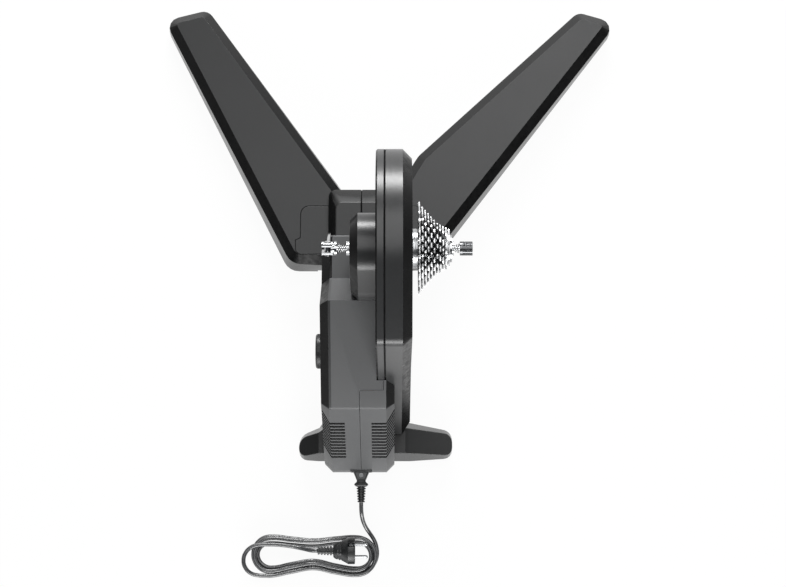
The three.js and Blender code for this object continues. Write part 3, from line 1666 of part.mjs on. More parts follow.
const cordLength = leadCurve.getLength() + hankCurve.getLength() + tailCurve.getLength();
console.log(`cord length ${cordLength.toFixed(0)} mm, least gap of the hank to itself ${leastHankGap().toFixed(2)} mm`);
console.log(`modelling origin lies at ${(-middle.x).toFixed(3)}, ${(-middle.y).toFixed(3)} from the object's middle`);

export default model;
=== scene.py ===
import math

import bmesh
import bpy
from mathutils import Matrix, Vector


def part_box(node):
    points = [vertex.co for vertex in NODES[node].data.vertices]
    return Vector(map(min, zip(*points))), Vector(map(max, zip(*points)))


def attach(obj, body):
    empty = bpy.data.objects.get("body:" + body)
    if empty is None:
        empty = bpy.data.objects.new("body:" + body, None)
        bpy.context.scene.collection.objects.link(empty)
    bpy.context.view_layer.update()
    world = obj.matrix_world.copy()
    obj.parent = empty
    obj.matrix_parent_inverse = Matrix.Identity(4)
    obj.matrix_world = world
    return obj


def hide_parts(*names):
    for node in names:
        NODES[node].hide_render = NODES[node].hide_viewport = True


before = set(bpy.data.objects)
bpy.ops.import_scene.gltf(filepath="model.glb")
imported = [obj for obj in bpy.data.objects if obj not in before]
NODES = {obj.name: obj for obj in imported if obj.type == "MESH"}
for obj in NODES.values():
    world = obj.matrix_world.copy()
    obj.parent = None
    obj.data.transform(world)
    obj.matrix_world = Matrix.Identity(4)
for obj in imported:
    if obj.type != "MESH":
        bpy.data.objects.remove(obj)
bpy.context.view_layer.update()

MM = 0.001

# The modelling frame of the part's source: X = 0 is the bike's centre plane, Y = 0 is under the axle
axle_low, axle_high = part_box("axle")
ORIGIN = Vector(((axle_low.x + axle_high.x) / 2, (axle_low.y + axle_high.y) / 2, 0))
AXLE_HEIGHT = (axle_low.z + axle_high.z) / 2 / MM


def at(x, y, z):
    """A place in the modelling frame, in millimetres, as a place in the row frame, in metres."""
    return ORIGIN + Vector((x, y, z)) * MM


def placed(name, data):
    """A new object of the scene that holds this data."""
    made = bpy.data.objects.new(name, data)
    bpy.context.scene.collection.objects.link(made)
    return made


# Camera: above the trainer and a little behind it, tilted forward

IMAGE_WIDTH = 786
FOCAL_PIXELS = 1800
SENSOR = 36
CAMERA_PLACE = (-9, -449.5, 2558)
CAMERA_TILT = 10  # degrees

camera_data = bpy.data.cameras.new("camera")
camera_data.sensor_width = SENSOR
camera_data.lens = FOCAL_PIXELS / IMAGE_WIDTH * SENSOR
camera_data.clip_end = 50
camera = placed("camera", camera_data)
camera.location = at(*CAMERA_PLACE)
camera.rotation_euler = (math.radians(CAMERA_TILT), 0, 0)
bpy.context.scene.camera = camera
bpy.context.scene.view_settings.view_transform = "Standard"


# Helpers for shader nodes

def shader(name):
    """A new material, its node tree and its Principled shader."""
    material = bpy.data.materials.new(name)
    material.use_nodes = True
    return material, material.node_tree, material.node_tree.nodes["Principled BSDF"]


def feed(tree, value, target):
    """Links a socket to an input, or sets the input to a plain value."""
    if isinstance(value, bpy.types.NodeSocket):
        tree.links.new(value, target)
    else:
        target.default_value = value


def node(tree, kind, **values):
    """A node with its properties and its inputs set by name."""
    made = tree.nodes.new(kind)
    for key, value in values.items():
        if key in made.inputs:
            feed(tree, value, made.inputs[key])
        else:
            setattr(made, key, value)
    return made


def calculate(tree, operation, *values):
    """The result of a Math node on sockets and plain numbers."""
    made = node(tree, "ShaderNodeMath", operation=operation)
    for value, target in zip(values, made.inputs):
        feed(tree, value, target)
    return made.outputs[0]


def calculate_vector(tree, operation, *values):
    """The result of a Vector Math node on sockets and plain vectors."""
    made = node(tree, "ShaderNodeVectorMath", operation=operation)
    for value, target in zip(values, made.inputs):
        feed(tree, value, target)
    return made.outputs["Value" if operation in ("DOT_PRODUCT", "LENGTH") else "Vector"]


def split(tree, vector):
    """The X, Y and Z of a vector, as sockets by name."""
    return node(tree, "ShaderNodeSeparateXYZ", Vector=vector).outputs


def place(tree, stretch=(1, 1, 1)):
    """Coordinates of the piece itself, in metres, stretched along the axes."""
    coordinates = node(tree, "ShaderNodeTexCoord").outputs["Object"]
    return node(tree, "ShaderNodeMapping", Vector=coordinates, Scale=stretch).outputs["Vector"]


def noise(tree, vector, scale, detail):
    """Noise from 0 to 1, with a scale per metre."""
    return node(tree, "ShaderNodeTexNoise", Vector=vector, Scale=scale, Detail=detail).outputs["Fac"]


def between(tree, value, low, high, start=0.3, end=0.7):
    """A number that goes smoothly from low to high while the value goes from start to end."""
    made = node(tree, "ShaderNodeMapRange", interpolation_type="SMOOTHSTEP")
    for key, number in {
        "Value": value, "From Min": start, "From Max": end, "To Min": low, "To Max": high,
    }.items():
        feed(tree, number, made.inputs[key])
    return made.outputs["Result"]


def varied(tree, value, middle, spread):
    """A number that a value from 0 to 1 varies to either side of a middle one."""
    return between(tree, value, middle - spread, middle + spread)


def mixed(tree, factor, first, second):
    """A colour between two colours, each given as three numbers or as a socket."""
    made = node(tree, "ShaderNodeMix", data_type="RGBA", Factor=factor)
    for key, colour in (("A", first), ("B", second)):
        socket = next(s for s in made.inputs if s.name == key and s.type == "RGBA")
        feed(tree, (*colour, 1) if isinstance(colour, tuple) else colour, socket)
    return next(s for s in made.outputs if s.type == "RGBA")


def bumped(tree, principled, height, strength, distance, previous=None):
    """Gives the shader a bump, on top of a previous one, and returns its normal."""
    made = node(tree, "ShaderNodeBump", Strength=strength, Distance=distance, Height=height)
    if previous:
        feed(tree, previous, made.inputs["Normal"])
    feed(tree, made.outputs["Normal"], principled.inputs["Normal"])
    return made.outputs["Normal"]


EDGE_WEAR = 0.0006  # width of a worn edge, in metres
EDGE_AGREEMENT = (0.86, 0.99)  # of the rounded normal with the true one, from a worn edge to a plain face


def edge_share(tree):
    """1 on a worn edge and 0 elsewhere, from how far the rounded normal leaves the true one."""
    rounded = node(tree, "ShaderNodeBevel", samples=4, Radius=EDGE_WEAR).outputs["Normal"]
    plain = node(tree, "ShaderNodeNewGeometry").outputs["Normal"]
    return between(tree, calculate_vector(tree, "DOT_PRODUCT", rounded, plain), 1, 0, *EDGE_AGREEMENT)


# Where a coat's colour is painted for how light falls on a face, by its direction and place: near-black
# painted shade on chamfers, sides and slot walls, and a lighter painted reflection on the foot's sides;
# there the finish is also smoother

# Shares of a face's normal between which the plain coat gives way to its painted shade, and on the foot to
# its painted reflection
TOP_FACE = (0.72, 0.76)
CHAMFER_FACE = (0.35, 0.6)
FLANK_FACE = (0.93, 0.97)
BAND_FACE = (0.5, 0.6)
REAR_FACE = (-0.6, -0.35)
LEVEL_FACE = (0.55, 0.7)

REAR_SHADE_KEPT = 0.45  # how much of the painted shade is kept where a chamfer faces the rear, where more light falls
BAND_X = -90.6  # right edge of the near-black band of painted shade along the left housing's upper edge
BAND_BLUR = 0.3
SLOTS_LOW, SLOTS_HIGH = 59, 170  # only the walls of the vent slots lie level between these heights; the coat is painted near-black on them as the shade inside the slots
SLOTS_BLUR = 1


def painted_light_share(tree, painted_light_on):
    """1 where a coat's colour is painted for the light on a face, from the face's direction and place, and
    0 elsewhere.
    """
    geometry = node(tree, "ShaderNodeNewGeometry")
    normal = split(tree, geometry.outputs["Normal"])
    if painted_light_on == "below":
        return between(tree, normal["Z"], 1, 0, *TOP_FACE)
    sideways = calculate(tree, "ABSOLUTE", normal["X"])
    chamfer = between(tree, sideways, 0, 1, *CHAMFER_FACE)
    beside = calculate(tree, "MULTIPLY", chamfer, between(tree, sideways, 1, 0, *FLANK_FACE))
    if painted_light_on == "beside":
        return beside
    position = split(tree, geometry.outputs["Position"])
    # Painted shade: a near-black band along the left housing's upper edge, by place
    band_edge = ORIGIN.x + BAND_X * MM
    band = between(tree, position["X"], 1, 0, band_edge, band_edge + BAND_BLUR * MM)
    band = calculate(tree, "MULTIPLY", band, between(tree, normal["Z"], 0, 1, *BAND_FACE))
    # Less painted shade where a chamfer faces the rear, where more light falls
    kept = between(tree, normal["Y"], REAR_SHADE_KEPT, 1, *REAR_FACE)
    beside = calculate(tree, "MULTIPLY", calculate(tree, "MAXIMUM", beside, band), kept)
    # Painted shade: the level walls of the vent slots turn near-black
    slots = between(tree, calculate(tree, "ABSOLUTE", normal["Z"]), 0, 1, *LEVEL_FACE)
    for start, end in ((SLOTS_LOW, SLOTS_LOW + SLOTS_BLUR), (SLOTS_HIGH + SLOTS_BLUR, SLOTS_HIGH)):
        inside = between(tree, position["Z"], 0, 1, start * MM, end * MM)
        slots = calculate(tree, "MULTIPLY", slots, inside)
    return calculate(tree, "MAXIMUM", beside, slots)


# Materials

# Scales of noise, per metre: of the coats, of moulded pieces, of metals and of the cogs
MOTTLE, POLISH, GRAIN, SPECK, FINE_GRAIN = 9, 30, 700, 1100, 2600
CLOUD, SHEEN = 40, 150
STAIN = 55
COG_STAIN, COG_SHEEN, COG_GRAIN = 260, 500, 1500

# Stretches that turn a metal's noise into lines
ALONG_X = (0.02, 1, 1)
AROUND_X = (1, 0.02, 0.02)


def coated(name, colour, light, worn, rough, painted_light_on, painted_light_colour, painted_face_rough, gloss):
    """Textured powder coat with a fine grain and paler edges; where the mask picks a face, its colour is
    painted near-black as shade (lighter on the foot, as a reflection) and its finish is smoother.
    """
    material, tree, principled = shader(name)
    principled.inputs["Specular IOR Level"].default_value = gloss
    vector = place(tree)
    painted_light = painted_light_share(tree, painted_light_on)
    mottle = between(tree, noise(tree, vector, MOTTLE, 3), 0, 0.4)
    specks = between(tree, noise(tree, vector, SPECK, 2), 0, 0.6, start=0.45, end=0.7)
    base = mixed(tree, mottle, colour, light)
    base = mixed(tree, specks, base, light)
    # Painted shade: on the faces the mask picks, the colour turns near-black (on the foot, a lighter
    # painted reflection)
    base = mixed(tree, painted_light, base, painted_light_colour)
    base = mixed(tree, edge_share(tree), base, worn)
    feed(tree, base, principled.inputs["Base Color"])
    grained = varied(tree, noise(tree, vector, GRAIN, 3), rough, 0.04)
    smooth = varied(tree, noise(tree, vector, POLISH, 4), painted_face_rough, 0.03)
    roughness = node(tree, "ShaderNodeMix", data_type="FLOAT", Factor=painted_light, A=grained, B=smooth)
    feed(tree, roughness.outputs["Result"], principled.inputs["Roughness"])
    fine = bumped(tree, principled, noise(tree, vector, FINE_GRAIN, 2), strength=0.3, distance=0.00004)
    bumped(tree, principled, noise(tree, vector, GRAIN, 2), strength=0.1, distance=0.00008, previous=fine)
    return material


def moulded(name, colour, light, roughness, grain=3200, grain_depth=0.00003, gloss=0.5):
    """Moulded plastic or rubber with a fine spark-eroded grain."""
    material, tree, principled = shader(name)
    principled.inputs["Specular IOR Level"].default_value = gloss
    vector = place(tree)
    base = mixed(tree, between(tree, noise(tree, vector, CLOUD, 4), 0, 1), colour, light)
    feed(tree, base, principled.inputs["Base Color"])
    rough = varied(tree, noise(tree, vector, SHEEN, 3), roughness, 0.08)
    feed(tree, rough, principled.inputs["Roughness"])
    bumped(tree, principled, noise(tree, vector, grain, 2), strength=0.4, distance=grain_depth)
    return material


def metal(name, colour, dull, roughness, stretch, scale=900, depth=0.00002):
    """Turned or brushed metal: fine lines, a little staining and uneven gloss."""
    material, tree, principled = shader(name)
    principled.inputs["Metallic"].default_value = 1
    lines = noise(tree, place(tree, stretch), scale, 2)
    stain = between(tree, noise(tree, place(tree), STAIN, 5), 0, 1, start=0.45, end=0.75)
    feed(tree, mixed(tree, stain, colour, dull), principled.inputs["Base Color"])
    rough = between(tree, lines, roughness * 0.7, roughness * 1.4)
    feed(tree, rough, principled.inputs["Roughness"])
    bumped(tree, principled, lines, strength=0.25, distance=depth)
    return material


def disc(name):
    """The middle and the radius of a round CAD node that faces along X, in metres."""
    low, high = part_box(name)
    return (low + high) / 2, (high.z - low.z) / 2


# Depths below the tips of the teeth at which the near-black body of painted shade between the stacked cogs
# ends and the bright steel begins
TEETH_IN, TEETH_OUT = 8, 6


def toothed(name, bright, dark):
    """Steel of the cogs: bright teeth over a near-black body that paints the shade between the stacked
    cogs, told apart by the cassette's cone.
    """
    material, tree, principled = shader(name)
    principled.inputs["Metallic"].default_value = 1
    vector = place(tree)
    large, large_radius = disc("cog_28")
    small, small_radius = disc("cog_11")
    slope = (large_radius - small_radius) / (small.x - large.x)
    moved = calculate_vector(tree, "SUBTRACT", vector, (large.x, ORIGIN.y, large.z))
    radius = calculate_vector(tree, "LENGTH", calculate_vector(tree, "MULTIPLY", moved, (0, 1, 1)))
    cone = calculate(tree, "MULTIPLY_ADD", split(tree, moved)["X"], slope, radius)
    tooth = between(tree, cone, 0, 1, large_radius - TEETH_IN * MM, large_radius - TEETH_OUT * MM)
    stained = tuple(channel * 0.6 for channel in bright)
    steel = mixed(tree, between(tree, noise(tree, vector, COG_STAIN, 4), 0, 0.5), bright, stained)
    # Painted shade: below the teeth the cogs turn near-black, as the shade between them
    feed(tree, mixed(tree, tooth, dark, steel), principled.inputs["Base Color"])
    rough = varied(tree, noise(tree, vector, COG_SHEEN, 3), 0.4, 0.06)
    feed(tree, rough, principled.inputs["Roughness"])
    bumped(tree, principled, noise(tree, vector, COG_GRAIN, 2), strength=0.1, distance=0.00003)
    return material


MATERIALS = {
    # Painted shade: the leg's chamfers and sides, below its top face, are near-black
    "leg": coated(
        "leg_coat", rough=0.4, gloss=0.4,
        colour=(0.0145, 0.0148, 0.0151), light=(0.021, 0.0214, 0.0218), worn=(0.03, 0.031, 0.032),
        painted_light_on="below", painted_light_colour=(0.0035, 0.0036, 0.0037), painted_face_rough=0.24,
    ),
    # Painted shade: the body's chamfers, the band along its upper edge and its slot walls are near-black
    "body": coated(
        "body_coat", rough=0.36, gloss=0.2,
        colour=(0.08, 0.0812, 0.0826), light=(0.09, 0.0914, 0.093), worn=(0.13, 0.132, 0.135),
        painted_light_on="beside and in slots", painted_light_colour=(0.0025, 0.0026, 0.0027), painted_face_rough=0.24,
    ),
    # Painted shade: the cover's chamfers are near-black
    "cover": coated(
        "cover_coat", rough=0.32, gloss=0.5,
        colour=(0.019, 0.0194, 0.02), light=(0.026, 0.0266, 0.0273), worn=(0.05, 0.051, 0.053),
        painted_light_on="beside", painted_light_colour=(0.0025, 0.0026, 0.0027), painted_face_rough=0.22,
    ),
    # Painted reflection: the foot's faces below its top are painted lighter than its top
    "foot": coated(
        "foot_coat", rough=0.46, gloss=0.5,
        colour=(0.008, 0.0082, 0.0084), light=(0.012, 0.0122, 0.0124), worn=(0.025, 0.026, 0.027),
        painted_light_on="below", painted_light_colour=(0.02, 0.0204, 0.0208), painted_face_rough=0.2,
    ),
    # Painted shade: a near-black material for the slanting chamfer faces
    "chamfer": moulded(
        "chamfer_painted_shade", (0.0022, 0.0023, 0.0024), (0.004, 0.0041, 0.0042), 0.34, 2600, 0.000006, gloss=0.12,
    ),
    # Painted shade: a near-black, matt material for the strips in the cover's groove and the block's seam
    "seam_shade": moulded(
        "seam_shade_black", (0.003, 0.003, 0.0031), (0.006, 0.006, 0.0062), 0.9, 1400, 0.00008, gloss=0.1,
    ),
    "black": moulded("black_plastic", (0.011, 0.0115, 0.012), (0.02, 0.021, 0.022), 0.42),
    "rubber": moulded("rubber", (0.01, 0.01, 0.0105), (0.02, 0.02, 0.021), 0.75, 1400, 0.00008),
    "cord": moulded("cord_sheath", (0.04, 0.041, 0.043), (0.06, 0.061, 0.063), 0.3, 1800, 0.00002, gloss=1),
    "panel": moulded("satin_plastic", (0.07, 0.072, 0.074), (0.09, 0.092, 0.094), 0.5),
    "button": moulded("grey_plastic", (0.25, 0.255, 0.26), (0.3, 0.305, 0.31), 0.45),
    "board": moulded("solder_mask", (0.012, 0.11, 0.04), (0.02, 0.14, 0.055), 0.35),
    "steel": metal("turned_steel", (0.4, 0.405, 0.41), (0.28, 0.285, 0.29), 0.22, AROUND_X),
    "chrome": metal("chrome", (0.42, 0.425, 0.43), (0.32, 0.325, 0.33), 0.09, ALONG_X, 500),
    "nickel": metal("plated_steel", (0.48, 0.485, 0.49), (0.3, 0.305, 0.31), 0.16, AROUND_X),
    "nut": metal("dark_plated_steel", (0.12, 0.122, 0.125), (0.07, 0.071, 0.073), 0.24, AROUND_X),
    "aluminium": metal("machined_aluminium", (0.62, 0.63, 0.64), (0.5, 0.51, 0.52), 0.28, AROUND_X),
    "iron": metal("turned_iron", (0.16, 0.165, 0.17), (0.09, 0.09, 0.092), 0.45, AROUND_X),
    "copper": metal("copper_winding", (0.62, 0.28, 0.14), (0.4, 0.17, 0.08), 0.35, ALONG_X, 2400, 0.0001),
    # Painted shade: the second colour, near-black, is the shade between the cogs
    "cog": toothed("cog_steel", (0.58, 0.585, 0.59), (0.02, 0.0205, 0.021)),
}


# CAD nodes that stay: edges are rounded by modifiers and each gets its material

# Which faces of a coated CAD node get the near-black chamfer material, painted shade on the slanting faces,
# from their normal
CHAMFERED = {
    "cover": lambda n: 0.4 < abs(n.x) < 0.93,  # slanting between the rim and a side
    "body": lambda n: 0.4 < abs(n.x) < 0.93 and n.y > -0.45,  # the same, but not where it faces the rear, where more light falls
    "leg": lambda n: 0.3 < n.z < 0.85 and n.y < -0.15,  # slanting towards the rear
}
WELD_GAP = 1e-6  # metres
FLAT_ANGLE = 0.4  # degrees, as the next two
EDGE_ANGLE = 28
SHALLOW_EDGES = {"rear_foot": 8, "front_block_left": 20, "front_block_right": 20}


def soften(piece, width, angle):
    """Rounds edges sharper than an angle in degrees by a modifier, with a width in millimetres."""
    bevel = piece.modifiers.new("edges", "BEVEL")
    bevel.width = width * MM
    bevel.segments = 2
    bevel.limit_method = "ANGLE"
    bevel.angle_limit = math.radians(angle)
    bevel.harden_normals = True
    return piece


def dress(name, material, edge_width):
    """Gives a CAD node its material and rounds its edges."""
    piece = NODES[name]
    mesh = piece.data
    for attribute in ("custom_normal", "sharp_edge", "sharp_face"):
        if attribute in mesh.attributes:
            mesh.attributes.remove(mesh.attributes[attribute])
    mesh.polygons.foreach_set("use_smooth", [True] * len(mesh.polygons))
    mesh.materials.clear()
    mesh.materials.append(MATERIALS[material])
    # The chamfer faces take the near-black material of painted shade
    if material in CHAMFERED:
        mesh.materials.append(MATERIALS["chamfer"])
        for face in mesh.polygons:
            face.material_index = int(CHAMFERED[material](face.normal))
    weld = piece.modifiers.new("weld", "WELD")
    weld.merge_threshold = WELD_GAP
    flat = piece.modifiers.new("flat", "DECIMATE")
    flat.decimate_type = "DISSOLVE"
    flat.angle_limit = math.radians(FLAT_ANGLE)
    soften(piece, edge_width, SHALLOW_EDGES.get(name, EDGE_ANGLE))


COGS = [f"cog_{teeth}" for teeth in (28, 25, 23, 21, 19, 17, 15, 14, 13, 12, 11)]
# The width of each node's rounded edges, in millimetres, by material
DRESSED = {
    "leg": {"left_leg": 1.2, "right_leg": 1.2, "left_leg_cap": 0.6, "right_leg_cap": 0.6,
            "front_block_left": 1.2, "front_block_right": 1.2},
    "cover": {"inner_belt_cover": 0.8, "outer_belt_cover": 1.6, "axle_housing": 1.4},
    "body": {"left_housing": 1, "right_housing": 1},
    "foot": {"rear_foot": 1, "base_plate": 0.8},
    "black": {"flywheel_cap": 1, "power_inlet": 0.4},
    "rubber": {"rear_pad_left": 0.8, "rear_pad_right": 0.8, "left_leg_pad": 0.8, "right_leg_pad": 0.8,
               "drive_belt": 0.3},
    "steel": {"pivot_pin_left": 0.6, "pivot_pin_right": 0.6, "flywheel_shaft": 0.4,
              "flywheel_bearing_left": 0.4, "flywheel_bearing_right": 0.4,
              "axle": 0.3, "axle_end_left": 0.2, "axle_end_right": 0.2,
              "hub_bearing_left": 0.4, "hub_bearing_right": 0.4,
              "skewer_rod": 0.3, "skewer_spring_left": 0, "skewer_spring_right": 0},
    "chrome": {"skewer_head": 0.25, "skewer_lever": 0.6},
    "nut": {"skewer_nut": 0.25},
    "cog": {name: 0.2 for name in COGS},
    "nickel": {"cassette_lockring": 0.3},
    "aluminium": {"small_pulley": 0.3, "hub_pulley": 0.5, "freehub_body": 0.3},
    "iron": {"flywheel": 0.8},
    "copper": {"brake_stator": 0.5},
    "board": {"circuit_board": 0.2},
}
for material_name, pieces in DRESSED.items():
    for piece_name, edge in pieces.items():
        dress(piece_name, material_name, edge)


# Cord: a lead from the connector, a hank of loops on the floor and a tail over it to the plug

LEAD = [
    (-53.5, -300.3, 28),
    (-53.5, -305.5, 27.8),
    (-53.2, -313, 25.6),
    (-52.2, -320.5, 20.6),
    (-50, -328, 14),
    (-46.3, -335.2, 8.2),
    (-41.6, -342, 4.2),
    (-37, -348.8, 2.7),
    (-33.6, -355.8, 2.5),
    (-31.9, -362.8, 2.5),
    (-31.7, -369.7, 2.5),
]
TAIL = [
    (-180.8, -400.8, 9),
    (-189, -401.1, 9.1),
    (-198, -400.5, 9.8),
    (-208, -397.5, 11.6),
    (-215.4, -390, 13.8),
    (-218, -379.5, 15.4),
    (-215, -369.2, 16),
    (-207.4, -361.8, 16),
    (-197, -358.5, 16),
    (-184, -357.9, 16),
    (-170, -358.3, 16),
    (-156, -359.8, 16),
    (-144, -361.9, 16.8),
    (-134, -364, 19.7),
    (-125, -366.2, 24.6),
    (-119, -366.9, 26.9),
    (-114.3, -367, 27.4),
]
CORD_RADIUS = 2.9

# The hank: long loops in two layers, round turns with straight runs between them, drawn in at a waist
CORD_FLOOR = 2.5
HANK_RIGHT, HANK_LEFT, HANK_Y = -59.5, -180.5, -370
HANK_RADIUS = 28.2
HANK_PITCH = 6.5
HANK_LAYER = 6.5
HANK_LAYER_SHIFT = -3
WAIST_X, WAIST_HALF = -123, 58
TOP_WAIST, BOTTOM_WAIST = 5, 10
TURN_STEPS, RUN_STEPS, HANK_STEPS, CLIMB_STEPS = 8, 4, 80, 3
LOOP_STEPS = 2 * (TURN_STEPS + RUN_STEPS)


def smoothstep(value, low, high):
    """A share that goes smoothly from 0 at low to 1 at high."""
    share = min(max((value - low) / (high - low), 0), 1)
    return share * share * (3 - 2 * share)


def hank_point(step):
    """A point of the two-layer hank: the lower loops wind inwards, the upper ones outwards again."""
    phase = step % LOOP_STEPS
    radius = HANK_RADIUS - HANK_PITCH * min(step, HANK_STEPS - step) / LOOP_STEPS
    slide = smoothstep(step, HANK_STEPS / 2 - 2 * CLIMB_STEPS, HANK_STEPS / 2)
    climb = smoothstep(step, HANK_STEPS / 2 - 1, HANK_STEPS / 2 + 2 * CLIMB_STEPS - 1)
    quarter = TURN_STEPS / 2
    if phase < quarter or phase > LOOP_STEPS - quarter:
        angle = -math.pi * (phase if phase < quarter else phase - LOOP_STEPS) / TURN_STEPS
        x, across = HANK_RIGHT + radius * math.cos(angle), radius * math.sin(angle)
    elif phase <= quarter + RUN_STEPS:
        x = HANK_RIGHT + (HANK_LEFT - HANK_RIGHT) * (phase - quarter) / RUN_STEPS
        across = -radius
    elif phase < quarter + RUN_STEPS + TURN_STEPS:
        angle = -math.pi / 2 - math.pi * (phase - quarter - RUN_STEPS) / TURN_STEPS
        x, across = HANK_LEFT + radius * math.cos(angle), radius * math.sin(angle)
    else:
        x = HANK_LEFT + (HANK_RIGHT - HANK_LEFT) * (phase - quarter - RUN_STEPS - TURN_STEPS) / RUN_STEPS
        across = radius
    bell = math.cos(min(max((x - WAIST_X) / WAIST_HALF, -1), 1) * math.pi / 2) ** 2
    drawn = -TOP_WAIST * bell if across > 0 else BOTTOM_WAIST * bell
    return x, HANK_Y + across + drawn + HANK_LAYER_SHIFT * slide, CORD_FLOOR + HANK_LAYER * climb


def tube(name, points, radius, material):
    """A round tube along one open spline through points of the modelling frame."""
    data = bpy.data.curves.new(name, "CURVE")
    data.dimensions = "3D"
    data.bevel_depth = radius * MM
    data.bevel_resolution = 4
    data.resolution_u = 6
    data.use_fill_caps = True
    spline = data.splines.new("BEZIER")
    spline.bezier_points.add(len(points) - 1)
    for target, point in zip(spline.bezier_points, points):
        target.co = at(*point)
        target.handle_left_type = target.handle_right_type = "AUTO"
    data.materials.append(MATERIALS[material])
    return placed(name, data)


HANK = [hank_point(step) for step in range(HANK_STEPS + 1)]
# The hank's ends take the place of the lead's last point and the tail's first one, and every point is high
# enough for the sheath to lie on the floor
ROUTE = [(x, y, max(z, CORD_RADIUS)) for x, y, z in LEAD[:-1] + HANK + TAIL[1:]]
flex = tube("power_cord", ROUTE, CORD_RADIUS, "cord")
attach(flex, "chassis")
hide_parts("cord_lead", "cord_hank", "cord_tail")


# Ringed pieces: rings of points joined into a closed surface

SHARP_ANGLE = 40  # degrees
NEW_EDGE_ANGLE = 30


def ringed(name, rings, material, smooth=True):
    """A closed piece through rings of points, all with the same count, in the modelling frame."""
    mesh = bpy.data.meshes.new(name)
    work = bmesh.new()
    loops = [[work.verts.new(at(*point)) for point in ring] for ring in rings]
    count = len(rings[0])
    for first, second in zip(loops, loops[1:]):
        for i in range(count):
            j = (i + 1) % count
            work.faces.new((first[i], first[j], second[j], second[i]))
    work.faces.new(loops[0])
    work.faces.new(loops[-1])
    bmesh.ops.recalc_face_normals(work, faces=work.faces)
    work.to_mesh(mesh)
    work.free()
    if smooth:
        mesh.polygons.foreach_set("use_smooth", [True] * len(mesh.polygons))
        mesh.set_sharp_from_angle(angle=math.radians(SHARP_ANGLE))
    mesh.materials.append(MATERIALS[material])
    return placed(name, mesh)


def settle(piece, slot, *replaced):
    """Rides on the chassis and may stand for nodes, which it hides; its slot is not used."""
    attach(piece, "chassis")
    if replaced:
        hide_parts(*replaced)


def circle(radius, count):
    """Points round a circle, as pairs of (u, v)."""
    turns = [math.tau * k / count for k in range(count)]
    return [(radius * math.cos(turn), radius * math.sin(turn)) for turn in turns]


def superellipse(half_u, half_v, power, count=48):
    """Points round a superellipse, as pairs of (u, v): a power of 2 is an ellipse, and more is squarer."""
    points = []
    for c, s in circle(1, count):
        points.append((math.copysign(abs(c) ** (2 / power), c) * half_u,
                       math.copysign(abs(s) ** (2 / power), s) * half_v))
    return points


# Place within a rib of a relief, as a share of its length, and whether its crest stands there
RIB_PROFILE = ((0, False), (0.36, False), (0.42, True), (0.92, True))
RELIEF_END = 0.8  # the last radius of a relief, as a share of its root there


def ribbed(start, end, count, root, crest, narrowing):
    """Rows of place and radius along a ribbed relief that narrows by a share of its size."""
    rows = []
    step = (end - start) / count
    for k in range(count):
        share = 1 - narrowing * k / (count - 1)
        for along, raised in RIB_PROFILE:
            rows.append((start + (k + along) * step, (crest if raised else root) * share))
    rows.append((end, root * (1 - narrowing) * RELIEF_END))
    return rows


# Power connector: a tapered shell, a neck, a flange and a ribbed relief, with a panel and a button on top

CONNECTOR_X, _, CONNECTOR_Z = LEAD[0]
PANEL_TOP = CONNECTOR_Z + 7.6
PANEL_OUTLINE = [(-8.2, -258.6), (8.2, -258.6), (5, -267.2), (-5, -267.2)]
BUTTON_Y = -262.4


def connector_ring(y, half_x, half_z, power=5):
    """A ring across the connector."""
    return [(CONNECTOR_X + u, y, CONNECTOR_Z + v) for u, v in superellipse(half_x, half_z, power)]


def panel_ring(z, inward=0.0):
    """A horizontal ring of the panel's outline, drawn in towards its middle by a share."""
    middle_y = sum(y for _, y in PANEL_OUTLINE) / len(PANEL_OUTLINE)
    return [(CONNECTOR_X + x * (1 - inward), y + (middle_y - y) * inward, z) for x, y in PANEL_OUTLINE]


# Rows of y, half width and half height
shell_rings = [connector_ring(*row) for row in (
    (-246, 10.9, 6.9), (-246.4, 11.4, 7.4), (-257.2, 11.4, 7.4), (-257.8, 11.2, 7.3), (-268.3, 6.8, 6.7),
    (-268.9, 6.3, 6.2), (-271.2, 6.3, 6.1), (-272, 6.8, 6.3), (-274.3, 9.4, 7.1), (-275.1, 9.8, 7.4),
    (-276, 9.6, 7.3), (-277.6, 7.6, 6.6), (-278.2, 6.1, 5.8),
)]
shell_rings += [
    connector_ring(y, radius, radius, 2.4) for y, radius in ribbed(-278.4, -300, 6, 4.9, 6.4, 0.2)
]
settle(ringed("connector_shell", shell_rings, "black"), "black_plastic", "power_connector")

panel_rings = [panel_ring(PANEL_TOP - 1.4), panel_ring(PANEL_TOP - 0.15), panel_ring(PANEL_TOP, 0.04)]
settle(soften(ringed("connector_panel", panel_rings, "panel"), 0.25, NEW_EDGE_ANGLE), "black_plastic")

# Rows of radius and height above the panel
BUTTON = ((3.1, -1), (3.1, 0.1), (2.9, 0.35), (2.3, 0.4), (2.1, 0.15), (1.2, 0.2), (0.4, 0.25))
button_rings = [
    [(CONNECTOR_X + u, BUTTON_Y + v, PANEL_TOP + lift) for u, v in circle(radius, 32)]
    for radius, lift in BUTTON
]
settle(ringed("connector_button", button_rings, "button"), "black_plastic")


# Plug: a round face with notches, a grip and a relief; it lies rolled on the hank

_, PLUG_Y, PLUG_Z = TAIL[-1]
PLUG_ROLL = math.radians(26)
NOTCH_HALF = 0.15  # radians
PLUG_FACETS = 96
PIN_SPACING = 19


def rolled(x, u, v):
    """A place on the plug: u along the line of its pins and v towards its upper contact."""
    c, s = math.cos(PLUG_ROLL), math.sin(PLUG_ROLL)
    return x, PLUG_Y + u * c + v * s, PLUG_Z - u * s + v * c


